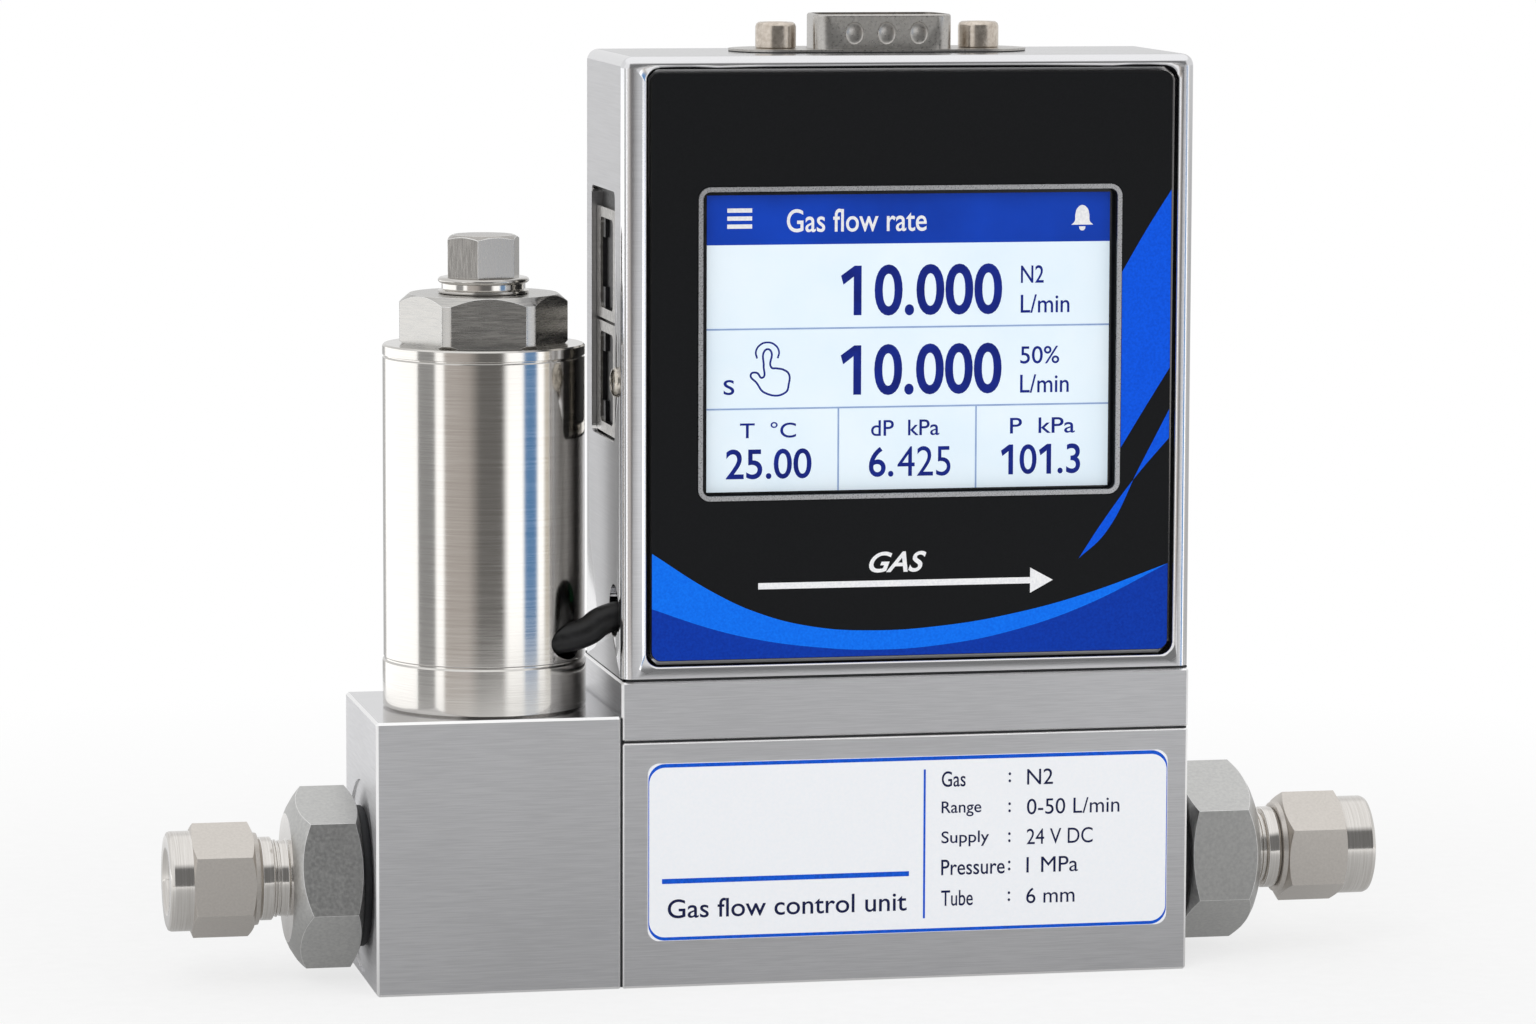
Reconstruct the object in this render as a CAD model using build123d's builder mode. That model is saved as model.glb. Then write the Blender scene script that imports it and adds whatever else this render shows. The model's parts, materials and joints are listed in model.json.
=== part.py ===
from build123d import *
import os
from math import sqrt, tan, radians

# Mass flow controller for dry gas, in millimetres. Gas enters on the left, passes the solenoid
# valve, crosses the joint into the long block with the laminar flow element, and leaves on the
# right. X runs along the flow, Y to the back and Z up. The origin is in the base face, half way
# between the two end faces and in line with the ports.

os.makedirs("parts", exist_ok=True)

# Manifold: a valve block and a flow body end to end, with an adapter plate on the flow body
manifold_depth = 26.7
valve_block_length = 29.4
valve_block_height = 32.8
flow_body_length = 69.6
flow_body_height = 29.7
plate_height = 7.25
land_height = 0.3
land_inset = 1.5
edge_break = 0.3

left_face = -(valve_block_length + flow_body_length) / 2
joint_face = left_face + valve_block_length
right_face = joint_face + flow_body_length
plate_top = flow_body_height + plate_height
land_top = plate_top + land_height

# Clearances between pieces that go into each other
slip = 0.05
hole_clearance = 0.1
thread_clearance = 0.2
loose = 0.3

# Ports and the compression fittings screwed into them, for tube of 6 mm
port_height = 12.4
port_thread_radius = 6.4
port_thread_length = 7.5
port_hole_radius = port_thread_radius + thread_clearance
port_hole_depth = 9.0
spot_face_radius = 11.6
spot_face_depth = 0.3
tube_socket_radius = 3.05
tube_socket_depth = 6.0
fitting_bore_radius = 2.2
fitting_hex = 19.0
fitting_face_radius = 7.7
fitting_cone_length = 1.9
fitting_back_radius = 9.3
fitting_back_chamfer = 0.8
fitting_neck_radius = 4.5
fitting_neck_length = 1.8
fitting_collar_radius = 5.1
fitting_collar_length = 1.8
nut_thread_radius = 4.75
nut_thread_length = 5.4
nut_hex = 12.0
nut_hex_length = 8.0
nut_end_radius = 5.9
nut_chamfer = 0.7
nut_mouth_radius = 3.9
nut_mouth_depth = 0.75
tube_pass_radius = 3.15
ferrule_cone_length = 2.0
ferrule_cone_radius = 4.05
ferrule_nose_gap = 0.6
ferrule_rim_length = 0.6
back_ferrule_length = 1.4
back_ferrule_radius = 3.9
seal_ring_outer_radius = 8.3
seal_ring_inner_radius = port_hole_radius

# What differs between the inlet and the outlet
inlet_seal_thickness = 1.2
inlet_hex_length = 8.2
inlet_hex_turn = 14.3
inlet_nut_turn = 1.2
inlet_nut_end = 2.8
outlet_seal_thickness = 2.2
outlet_hex_length = 9.1
outlet_hex_turn = -4.4
outlet_nut_turn = 5.0
outlet_nut_end = 3.75

# Valve, on an upright axis near the left end
valve_offset = 15.0
seat_depth = 8.5
chamber_radius = 6.0
tube_plug_depth = 4.0
tube_plug_radius = 7.5
gasket_thickness = 0.8
orifice_radius = 3.5
orifice_thickness = 2.0
nozzle_radius = 1.4
nozzle_height = 1.2
orifice_bore_radius = 0.6
plunger_radius = 4.0
plunger_length = 24.4
plunger_clearance = 0.15
stop_gap = 0.6
seat_disc_radius = 2.6
seat_disc_thickness = 1.8
seat_disc_stand = 0.5
guide_tube_radius = 5.0
pole_piece_length = 25.0
base_ring_radius = 12.2
base_ring_height = 6.0
can_radius = 12.075
can_wall = 1.5
can_height = 36.1
top_ring_radius = 12.1
top_ring_height = 1.5
coil_clearance = 0.3
clamp_nut_hex = 18.0
clamp_nut_height = 6.0
clamp_nut_corner_radius = 10.05
clamp_nut_face_radius = 8.9
clamp_nut_chamfer = 1.0
clamp_nut_foot_radius = 9.7
clamp_nut_foot_chamfer = 0.3
clamp_nut_turn = 25.0
stem_collar_radius = 5.45
stem_collar_height = 2.0
stem_hex = 8.0
stem_hex_height = 5.0
stem_hex_turn = 43.0
stem_chamfer = 0.6
spring_wire = 0.5
spring_radius = 1.9
spring_bore_depth = 6.0
spring_turns = 4

valve_x = left_face + valve_offset
seat_floor = valve_block_height - seat_depth
tube_step = valve_block_height - tube_plug_depth

# Gas passages
inlet_drill_radius = 3.0
drill_to_drop_wall = 2.2
riser_radius = 1.4
riser_offset = 5.2
outlet_drop_radius = 1.5
cross_passage_radius = 3.0
element_bore_radius = 7.0
element_inset = 14.1
element_to_outlet = 35.5
mixing_bore_radius = 6.0
mixing_bore_length = 7.0
element_slot_width = 1.1
element_slot_pitch = 2.2
element_slot_count = 5
element_rim = 1.0
joint_seal_radius = 9.0
joint_seal_thickness = 1.2

element_start = joint_face + element_inset
element_end = right_face - element_to_outlet
element_length = element_end - element_start

# Pressure taps and the sensors that stand over them
tap_radius = 1.0
stem_radius = 1.6
stem_length = 3.25
tap_to_element = 3.0
absolute_tap_pitch = 8.5
probe_pitch = 7.5
sensor_overhang = 3.0
sensor_depth = 10.0
sensor_height = 7.0
absolute_sensor_radius = 4.0
absolute_sensor_height = 5.5
probe_radius = 0.9
probe_head_height = 3.0
sensor_window_gap = 0.6

upstream_tap_x = element_start - tap_to_element
downstream_tap_x = element_end + tap_to_element
absolute_tap_x = downstream_tap_x + absolute_tap_pitch
probe_x = absolute_tap_x + probe_pitch

# Housing on the adapter plate
housing_overhang = 0.15
housing_depth = 25.4
housing_height = 73.75
housing_wall = 1.6
front_wall = 3.0
housing_fillet = 1.4
boss_size = 4.0
cover_thickness = 1.5
cover_gap = 0.1

housing_length = flow_body_length
housing_x = joint_face + housing_length / 2
housing_right = joint_face + housing_length
housing_top = land_top + housing_height
housing_z = land_top + housing_height / 2
housing_front = -manifold_depth / 2 - housing_overhang
housing_back = housing_front + housing_depth
inner_left = joint_face + housing_wall
inner_right = housing_right - housing_wall
inner_bottom = land_top + housing_wall
inner_top = housing_top - housing_wall
front_wall_back = housing_front + front_wall
cover_front = housing_back - cover_thickness

# Front panel, window and display
panel_shift = 0.45
panel_border_x = 2.65
panel_border_z = 1.525
recess_corner = 1.4
recess_chamfer = 0.4
recess_depth = 1.7
panel_gap = 0.5
panel_thickness = 1.3
window_shift = 0.175
window_lift = 2.8
window_border_x = 6.925
window_border_z = 17.275
window_corner = 0.9
frame_width = 0.55
frame_thickness = 0.35
frame_stand = 0.15
screen_overlap = 0.8
module_rim_x = 4.875
module_rim_z = 3.275
module_thickness = 2.5
pad_size = 5.0

panel_x = housing_x + panel_shift
recess_length = housing_length - 2 * panel_border_x
recess_height = housing_height - 2 * panel_border_z
window_x = housing_x + window_shift
window_z = housing_z + window_lift
window_length = recess_length - 2 * window_border_x
window_height = recess_height - 2 * window_border_z
module_length = window_length + 2 * module_rim_x
module_height = window_height + 2 * module_rim_z
panel_back = housing_front + recess_depth
panel_front = panel_back - panel_thickness
module_back = front_wall_back + module_thickness

# Boards behind the display
board_thickness = 1.6
board_gap = 2.4
board_margin = 0.6
board_floor_gap = 0.75
board_post_edge = 2.5
post_hex = 4.5
post_pitch = 32.0
post_margin = 2.45
rear_board_length = 37.9
rear_board_drop = 6.2
rear_post_pitch = 15.5
rear_post_edge = 3.0
rear_post_inset = 4.0
chip_sizes = ((12.0, 12.0), (8.0, 6.0), (7.0, 9.0))
chip_spots = ((9.0, -5.0), (23.0, 11.0), (23.0, -15.0))
chip_thickness = 1.2

board_front = module_back + board_gap
board_back = board_front + board_thickness
board_left = inner_left + board_margin
board_right = inner_right - board_margin
post_x = (window_x - post_pitch / 2, window_x + post_pitch / 2)
post_reach = module_height / 2 + post_margin
post_z = (window_z - post_reach, window_z + post_reach)
board_bottom = land_top + sensor_height + board_floor_gap
board_top = window_z + post_reach + board_post_edge

# Two data sockets in the left side, turned so that their plugs lie on edge
socket_size = 13.4
socket_depth = 13.5
socket_inset = 0.6
socket_wall = 0.3
socket_drop = 45.8
socket_gap = 0.35
socket_to_back = 11.5
plug_opening_width = 6.8
plug_opening_height = 10.9
plug_opening_depth = 11.0
latch_width = 1.7
latch_height = 6.0
plug_opening_shift = -0.85
shield_opening_corner = 0.8
contact_count = 8
contact_pitch = 1.02
contact_width = 0.45
contact_height = 0.7
contact_length = 7.0
pocket_front_gap = 2.2
pocket_gap = 0.25
pocket_top_gap = 2.45
pocket_corner = 1.0

socket_left = joint_face + socket_inset
socket_y = housing_back - socket_to_back
socket_lower_z = housing_top - socket_drop
socket_upper_z = socket_lower_z + socket_size + socket_gap
socket_back_side = socket_y + socket_size / 2
pocket_front = socket_y - socket_size / 2 - pocket_front_gap
pocket_top = socket_upper_z + socket_size + pocket_top_gap
rear_board_front = socket_back_side
rear_board_right = board_left + rear_board_length
rear_board_bottom = socket_lower_z - rear_board_drop
rear_post_right = rear_board_right - rear_post_inset
rear_post_x = (rear_post_right - rear_post_pitch, rear_post_right)
rear_post_z = (rear_board_bottom + rear_post_edge, board_top - rear_post_edge)

# Earth screw beside the sockets
earth_screw_to_pocket = 1.9
earth_screw_lift = 7.2
earth_screw_head_radius = 1.8
earth_screw_stand = 0.85
earth_screw_radius = 0.9
earth_screw_length = 4.0
earth_boss_depth = 2.8
earth_boss_height = 5.0

earth_screw_y = pocket_front - earth_screw_to_pocket
earth_screw_z = socket_lower_z + earth_screw_lift

# Connector on the top, with a nine-pin shell
connector_shift_x = -1.1
connector_shift_y = 1.3
shell_length = 17.2
shell_width = 8.6
shell_slope = 4.0
shell_corner = 1.9
shell_wall = 0.5
shell_stand = 4.5
shell_edge = 0.3
flange_length = 30.8
flange_width = 12.4
flange_thickness = 0.8
gasket_length = 36.3
gasket_width = 13.0
top_gasket_thickness = 0.35
insulator_top_depth = 5.4
insulator_height = 6.0
pin_radius = 0.5
pin_pitch = 2.77
pin_row_gap = 2.84
pin_length = 4.6
jackscrew_spacing = 24.99
jackscrew_radius = 2.5
jackscrew_height = 3.15
jackscrew_bore_radius = 1.3
jackscrew_bore_depth = 2.4
jackscrew_shank_radius = 1.4
jackscrew_shank_length = 5.0

connector_x = housing_x + connector_shift_x
connector_y = (housing_front + housing_back) / 2 + connector_shift_y

# Cable from the coil to the main board
cable_radius = 1.75
cable_to_front_wall = 2.5
cable_to_base_ring = 2.5
cable_to_land = 7.55
cable_start_reach = 3.0
cable_bend_reach = 10.3
cable_to_housing = 0.6
cable_bend_share = 0.45
can_hole_radius = 2.2
housing_hole_radius = 3.2
plug_inset = 8.1
plug_length = 6.0
plug_depth = 4.4
plug_height = 5.6

cable_y = front_wall_back + cable_to_front_wall
cable_low_z = valve_block_height + base_ring_height + cable_to_base_ring
cable_high_z = land_top + cable_to_land
cable_start_x = valve_x + cable_start_reach
cable_low_x = valve_x + cable_bend_reach
cable_high_x = joint_face - cable_to_housing
plug_left = joint_face + plug_inset

# Fasteners
joint_bolt_y = 9.8
joint_bolt_drop = 8.7
joint_bolt_grip = 16.1
joint_bolt_length = 25.0
m3_head_radius = 2.75
m3_head_height = 3.0
m3_radius = 1.5
m3_counterbore_radius = 3.0
m3_counterbore_depth = 3.2
plate_screw_inset = 4.9
plate_screw_length = 8.5
housing_screw_inset = 11.1
housing_screw_gap = 0.2
housing_screw_length = 7.0
housing_screw_radius = 1.25
housing_screw_head_radius = 2.2
housing_screw_head_height = 1.4
cover_screw_head_radius = 1.9
cover_screw_head_height = 1.1
cover_screw_radius = 1.0
cover_screw_length = 6.0
base_hole_radius = 1.65
base_hole_depth = 7.0
base_hole_spacing_x = 70.0
base_hole_spacing_y = 16.0

# Rating plate on the front of the flow body
rating_margin_x = 2.85
rating_margin_z = 4.15
rating_corner = 1.4
rating_thickness = 0.3
rating_shift = 0.25
rating_lift = 1.55


# Planes
def port_section(side):
    """Plane through a port's axis: its X is the radius and its Y runs outwards from the face."""
    face = left_face if side < 0 else right_face
    return Plane(origin=(face, 0, port_height), x_dir=(0, 0, 1), z_dir=(0, side, 0))


def port_plane(side, distance):
    """Plane across a port's axis, that far outside the block's face, looking outwards."""
    face = left_face if side < 0 else right_face
    return Plane(origin=(face + side * distance, 0, port_height), x_dir=(0, 1, 0), z_dir=(side, 0, 0))


def across_flow(x, y=0, z=0):
    """Plane across the flow at x that looks along +X: its own X is +Y and its own Y is up."""
    return Plane(origin=(x, y, z), x_dir=(0, 1, 0), z_dir=(1, 0, 0))


def front_plane(y):
    """Upright plane at depth y that looks forwards: its own X is +X and its own Y is up."""
    return Plane(origin=(0, y, 0), x_dir=(1, 0, 0), z_dir=(0, -1, 0))


def back_plane(y):
    """Upright plane at depth y that looks backwards: its own X is -X and its own Y is up."""
    return Plane(origin=(0, y, 0), x_dir=(-1, 0, 0), z_dir=(0, 1, 0))


def valve_plane(z):
    """Level plane at height z with its zero on the valve's axis."""
    return Plane((valve_x, 0, z))


valve_section = Plane(origin=(valve_x, 0, 0), x_dir=(1, 0, 0), z_dir=(0, -1, 0))
flow_section = Plane(origin=(0, 0, port_height), x_dir=(0, 0, 1), z_dir=(0, 1, 0))
base_plane = Plane(origin=(0, 0, 0), x_dir=(1, 0, 0), z_dir=(0, 0, -1))


# Operations that several pieces share
def turned(plane, *points, mode=Mode.ADD):
    """Turns a closed outline of (radius, distance) points about the plane's own Y axis."""
    with BuildSketch(plane) as outline:
        with BuildLine():
            Polyline(*points, close=True)
        make_face()
    revolve(outline.sketch, axis=Axis(plane.origin, plane.y_dir), mode=mode)


def ring(plane, inner_radius, outer_radius, bottom, top):
    """A plain ring about the plane's own Y axis."""
    turned(plane, (inner_radius, bottom), (outer_radius, bottom), (outer_radius, top), (inner_radius, top))


def round_holes(plane, places, radius, depth):
    """Round holes of one size, from a plane into the part against the plane's normal."""
    with BuildSketch(plane) as rims:
        with Locations(*places):
            Circle(radius)
    extrude(rims.sketch, amount=-depth, mode=Mode.SUBTRACT)


def screws(plane, places, head_radius, head_height, radius, length):
    """Screws seated on a plane: the heads stand out of it and the shanks go in against its normal."""
    with BuildSketch(plane) as heads:
        with Locations(*places):
            Circle(head_radius)
    extrude(heads.sketch, amount=head_height)
    with BuildSketch(plane) as shanks:
        with Locations(*places):
            Circle(radius)
    extrude(shanks.sketch, amount=-length)


# Places that several pieces share
valve_block_x = (left_face + joint_face) / 2
flow_body_x = (joint_face + right_face) / 2
m3_hole_radius = m3_radius + hole_clearance
joint_bolt_z = flow_body_height - joint_bolt_drop
joint_bolt_seat = joint_face + joint_bolt_grip
joint_bolt_places = [(y, joint_bolt_z) for y in (-joint_bolt_y, joint_bolt_y)]
joint_bolt_tip = joint_bolt_seat - joint_bolt_length
plate_screw_x = (joint_face + plate_screw_inset, right_face - plate_screw_inset)
plate_screw_y = manifold_depth / 2 - plate_screw_inset
plate_screw_places = [(x, y) for x in plate_screw_x for y in (-plate_screw_y, plate_screw_y)]
plate_screw_seat = plate_top - m3_counterbore_depth
plate_screw_tip = plate_screw_seat - plate_screw_length
housing_screw_x = (joint_face + housing_screw_inset, housing_right - housing_screw_inset)
housing_screw_y = sensor_depth / 2 + sensor_window_gap + housing_screw_head_radius + housing_screw_gap
housing_screw_places = [(x, y) for x in housing_screw_x for y in (-housing_screw_y, housing_screw_y)]
housing_screw_tip = inner_bottom - housing_screw_length
tap_places = [(x, 0) for x in (upstream_tap_x, downstream_tap_x, absolute_tap_x)]
stem_bottom = land_top - stem_length
stem_hole_radius = stem_radius + slip

# Valve block: port, supply riser, seat chamber, outlet drop and cross passage
inlet_drill_end = valve_x - outlet_drop_radius - drill_to_drop_wall

with BuildPart() as valve_block:
    with BuildSketch():
        with Locations((valve_block_x, 0)):
            Rectangle(valve_block_length, manifold_depth)
    extrude(amount=valve_block_height)
    chamfer(valve_block.edges(), edge_break)
    turned(
        port_section(-1),
        (0, 0),
        (spot_face_radius, 0),
        (spot_face_radius, -spot_face_depth),
        (port_hole_radius, -spot_face_depth),
        (port_hole_radius, -port_hole_depth),
        (inlet_drill_radius, -port_hole_depth),
        (inlet_drill_radius, left_face - inlet_drill_end),
        (0, left_face - inlet_drill_end),
        mode=Mode.SUBTRACT,
    )
    turned(
        valve_section,
        (0, valve_block_height),
        (tube_plug_radius, valve_block_height),
        (tube_plug_radius, tube_step),
        (chamber_radius, tube_step),
        (chamber_radius, seat_floor),
        (orifice_radius, seat_floor),
        (orifice_radius, seat_floor - orifice_thickness),
        (outlet_drop_radius, seat_floor - orifice_thickness),
        (outlet_drop_radius, port_height),
        (0, port_height),
        mode=Mode.SUBTRACT,
    )
    round_holes(valve_plane(seat_floor), [(-riser_offset, 0)], riser_radius, seat_floor - port_height)
    round_holes(
        across_flow(joint_face, 0, port_height), [(0, 0)], cross_passage_radius, joint_face - valve_x
    )
    round_holes(
        across_flow(joint_face), joint_bolt_places, m3_hole_radius, joint_face - joint_bolt_tip + loose
    )
    round_holes(
        base_plane,
        [(-base_hole_spacing_x / 2, y) for y in (-base_hole_spacing_y / 2, base_hole_spacing_y / 2)],
        base_hole_radius,
        base_hole_depth,
    )
valve_block.part.label = "valve_block"
export_step(valve_block.part, "parts/valve_block.step")

# Flow body: bore for the laminar flow element, mixing chamber, outlet port and pressure taps
with BuildPart() as flow_body:
    with BuildSketch():
        with Locations((flow_body_x, 0)):
            Rectangle(flow_body_length, manifold_depth)
    extrude(amount=flow_body_height)
    chamfer(flow_body.edges(), edge_break)
    turned(
        flow_section,
        (0, joint_face),
        (joint_seal_radius, joint_face),
        (joint_seal_radius, joint_face + joint_seal_thickness),
        (element_bore_radius, joint_face + joint_seal_thickness),
        (element_bore_radius, element_end),
        (mixing_bore_radius, element_end),
        (mixing_bore_radius, element_end + mixing_bore_length),
        (cross_passage_radius, element_end + mixing_bore_length),
        (cross_passage_radius, right_face - port_hole_depth),
        (port_hole_radius, right_face - port_hole_depth),
        (port_hole_radius, right_face - spot_face_depth),
        (spot_face_radius, right_face - spot_face_depth),
        (spot_face_radius, right_face),
        (0, right_face),
        mode=Mode.SUBTRACT,
    )
    body_top = Plane.XY.offset(flow_body_height)
    round_holes(body_top, tap_places, tap_radius, flow_body_height - port_height)
    round_holes(body_top, [(probe_x, 0)], probe_radius + hole_clearance, flow_body_height - port_height)
    round_holes(
        body_top, plate_screw_places, m3_hole_radius, flow_body_height - plate_screw_tip + loose
    )
    round_holes(
        across_flow(right_face), joint_bolt_places, m3_counterbore_radius, right_face - joint_bolt_seat
    )
    round_holes(across_flow(right_face), joint_bolt_places, m3_hole_radius, flow_body_length)
    round_holes(
        base_plane,
        [(base_hole_spacing_x / 2, y) for y in (-base_hole_spacing_y / 2, base_hole_spacing_y / 2)],
        base_hole_radius,
        base_hole_depth,
    )
flow_body.part.label = "flow_body"
export_step(flow_body.part, "parts/flow_body.step")

# Adapter plate, with a low land on top that the housing stands on
with BuildPart() as adapter_plate:
    with BuildSketch(Plane.XY.offset(flow_body_height)):
        with Locations((flow_body_x, 0)):
            Rectangle(flow_body_length, manifold_depth)
    extrude(amount=plate_height)
    chamfer(adapter_plate.edges(), edge_break)
    with BuildSketch(Plane.XY.offset(plate_top)):
        with Locations((housing_x, (housing_front + housing_back) / 2)):
            Rectangle(housing_length - 2 * land_inset, housing_back - housing_front - 2 * land_inset)
    extrude(amount=land_height)
    land_plane = Plane.XY.offset(land_top)
    round_holes(land_plane, [*tap_places, (probe_x, 0)], stem_hole_radius, stem_length)
    round_holes(land_plane, tap_places, tap_radius, plate_height + land_height)
    round_holes(land_plane, [(probe_x, 0)], probe_radius + hole_clearance, plate_height + land_height)
    round_holes(land_plane, plate_screw_places, m3_hole_radius, plate_height + land_height)
    round_holes(land_plane, plate_screw_places, m3_counterbore_radius, land_top - plate_screw_seat)
    round_holes(
        land_plane,
        housing_screw_places,
        housing_screw_radius + hole_clearance,
        land_top - housing_screw_tip + loose,
    )
adapter_plate.part.label = "adapter_plate"
export_step(adapter_plate.part, "parts/adapter_plate.step")

# Rating plate, bonded to the front of the flow body
with BuildPart() as rating_plate:
    with BuildSketch(front_plane(-manifold_depth / 2)):
        with Locations((flow_body_x + rating_shift, flow_body_height / 2 + rating_lift)):
            RectangleRounded(
                flow_body_length - 2 * rating_margin_x,
                flow_body_height - 2 * rating_margin_z,
                rating_corner,
            )
    extrude(amount=rating_thickness)
rating_plate.part.label = "rating_plate"
export_step(rating_plate.part, "parts/rating_plate.step")

# Screws that pull the two blocks together, from deep counterbores in the outlet end
with BuildPart() as joint_bolts:
    screws(
        across_flow(joint_bolt_seat),
        joint_bolt_places,
        m3_head_radius,
        m3_head_height,
        m3_radius,
        joint_bolt_length,
    )
joint_bolts.part.label = "joint_bolts"
export_step(joint_bolts.part, "parts/joint_bolts.step")

with BuildPart() as plate_screws:
    screws(
        Plane.XY.offset(plate_screw_seat),
        plate_screw_places,
        m3_head_radius,
        m3_head_height,
        m3_radius,
        plate_screw_length,
    )
plate_screws.part.label = "plate_screws"
export_step(plate_screws.part, "parts/plate_screws.step")

# Seal round the passage where the two blocks meet
with BuildPart() as joint_seal:
    ring(
        flow_section,
        element_bore_radius + slip,
        joint_seal_radius - slip,
        joint_face,
        joint_face + joint_seal_thickness,
    )
joint_seal.part.label = "joint_seal"
export_step(joint_seal.part, "parts/joint_seal.step")

# Laminar flow element: a plug with narrow slots along the flow
element_radius = element_bore_radius - slip
with BuildPart() as laminar_flow_element:
    with BuildSketch(across_flow(element_start, 0, port_height)):
        Circle(element_radius)
        for i in range(element_slot_count):
            slot_y = (i - (element_slot_count - 1) / 2) * element_slot_pitch
            reach = abs(slot_y) + element_slot_width / 2
            slot_height = 2 * sqrt((element_radius - element_rim) ** 2 - reach**2)
            with Locations((slot_y, 0)):
                Rectangle(element_slot_width, slot_height, mode=Mode.SUBTRACT)
    extrude(amount=element_length)
laminar_flow_element.part.label = "laminar_flow_element"
export_step(laminar_flow_element.part, "parts/laminar_flow_element.step")

# Compression fittings: seal ring, connector, nut and two ferrules at each end
fittings = (
    (-1, "inlet", inlet_seal_thickness, inlet_hex_length, inlet_hex_turn, inlet_nut_turn, inlet_nut_end),
    (1, "outlet", outlet_seal_thickness, outlet_hex_length, outlet_hex_turn, outlet_nut_turn, outlet_nut_end),
)
for side, end, seal_thickness, hex_length, hex_turn, nut_turn, nut_end_length in fittings:
    section = port_section(side)
    hex_start = seal_thickness - spot_face_depth
    hex_end = hex_start + hex_length
    collar_start = hex_end + fitting_neck_length
    nut_start = collar_start + fitting_collar_length
    thread_end = nut_start + nut_thread_length
    cone_start = thread_end - ferrule_cone_length
    socket_start = cone_start - tube_socket_depth
    nut_hex_end = nut_start + nut_hex_length
    nut_end = nut_hex_end + nut_end_length
    front_ferrule_end = thread_end + ferrule_rim_length
    back_ferrule_end = front_ferrule_end + back_ferrule_length
    cone_growth = (ferrule_cone_radius - tube_socket_radius) / ferrule_cone_length
    nose_radius = tube_socket_radius + cone_growth * ferrule_nose_gap - slip

    with BuildPart() as seal_ring:
        ring(section, seal_ring_inner_radius, seal_ring_outer_radius, -spot_face_depth, hex_start)
    seal_ring.part.label = f"{end}_seal_ring"
    export_step(seal_ring.part, f"parts/{end}_seal_ring.step")

    with BuildPart() as connector:
        with BuildSketch(port_plane(side, hex_start)):
            RegularPolygon(fitting_hex / 2, 6, major_radius=False, rotation=hex_turn)
        extrude(amount=hex_length)
        corner_radius = fitting_hex / sqrt(3)
        turned(
            section,
            (0, hex_start),
            (fitting_back_radius, hex_start),
            (corner_radius, hex_start + fitting_back_chamfer),
            (corner_radius, hex_end - fitting_cone_length),
            (fitting_face_radius, hex_end),
            (0, hex_end),
            mode=Mode.INTERSECT,
        )
        turned(
            section,
            (0, -port_thread_length),
            (port_thread_radius, -port_thread_length),
            (port_thread_radius, hex_start),
            (0, hex_start),
        )
        turned(
            section,
            (0, hex_end),
            (fitting_neck_radius, hex_end),
            (fitting_neck_radius, collar_start),
            (fitting_collar_radius, collar_start),
            (fitting_collar_radius, nut_start),
            (nut_thread_radius, nut_start),
            (nut_thread_radius, thread_end),
            (0, thread_end),
        )
        turned(
            section,
            (0, thread_end),
            (ferrule_cone_radius, thread_end),
            (tube_socket_radius, cone_start),
            (tube_socket_radius, socket_start),
            (fitting_bore_radius, socket_start),
            (fitting_bore_radius, -port_thread_length),
            (0, -port_thread_length),
            mode=Mode.SUBTRACT,
        )
    connector.part.label = f"{end}_connector"
    export_step(connector.part, f"parts/{end}_connector.step")

    with BuildPart() as front_ferrule:
        turned(
            section,
            (tube_pass_radius, cone_start + ferrule_nose_gap),
            (nose_radius, cone_start + ferrule_nose_gap),
            (ferrule_cone_radius - slip, thread_end),
            (ferrule_cone_radius - slip, front_ferrule_end),
            (tube_pass_radius, front_ferrule_end),
        )
    front_ferrule.part.label = f"{end}_front_ferrule"
    export_step(front_ferrule.part, f"parts/{end}_front_ferrule.step")

    with BuildPart() as back_ferrule:
        ring(section, tube_pass_radius, back_ferrule_radius, front_ferrule_end, back_ferrule_end)
    back_ferrule.part.label = f"{end}_back_ferrule"
    export_step(back_ferrule.part, f"parts/{end}_back_ferrule.step")

    with BuildPart() as nut:
        with BuildSketch(port_plane(side, nut_start)):
            RegularPolygon(nut_hex / 2, 6, major_radius=False, rotation=nut_turn)
        extrude(amount=nut_hex_length)
        nut_corner_radius = nut_hex / sqrt(3)
        turned(
            section,
            (0, nut_start),
            (nut_end_radius, nut_start),
            (nut_corner_radius, nut_start + nut_chamfer),
            (nut_corner_radius, nut_hex_end - nut_chamfer),
            (nut_end_radius, nut_hex_end),
            (0, nut_hex_end),
            mode=Mode.INTERSECT,
        )
        turned(
            section,
            (0, nut_hex_end),
            (nut_end_radius, nut_hex_end),
            (nut_end_radius, nut_end),
            (0, nut_end),
        )
        turned(
            section,
            (0, nut_start),
            (nut_thread_radius + slip, nut_start),
            (nut_thread_radius + slip, back_ferrule_end),
            (tube_pass_radius, back_ferrule_end),
            (tube_pass_radius, nut_end - nut_mouth_depth),
            (nut_mouth_radius, nut_end),
            (0, nut_end),
            mode=Mode.SUBTRACT,
        )
    nut.part.label = f"{end}_nut"
    export_step(nut.part, f"parts/{end}_nut.step")

# Valve seat and its moving plunger
nozzle_top = seat_floor + nozzle_height
plunger_bottom = nozzle_top + seat_disc_stand
plunger_top = plunger_bottom + plunger_length
pole_piece_bottom = plunger_top + stop_gap
pole_piece_top = pole_piece_bottom + pole_piece_length
guide_bottom = tube_step + gasket_thickness
guide_bore_radius = plunger_radius + plunger_clearance
spring_bore_radius = spring_radius + spring_wire / 2 + loose
base_ring_top = valve_block_height + base_ring_height
can_top = base_ring_top + can_height
top_ring_top = can_top + top_ring_height
clamp_nut_top = top_ring_top + clamp_nut_height
stem_collar_top = clamp_nut_top + stem_collar_height
guide_top = clamp_nut_top - loose

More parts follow.
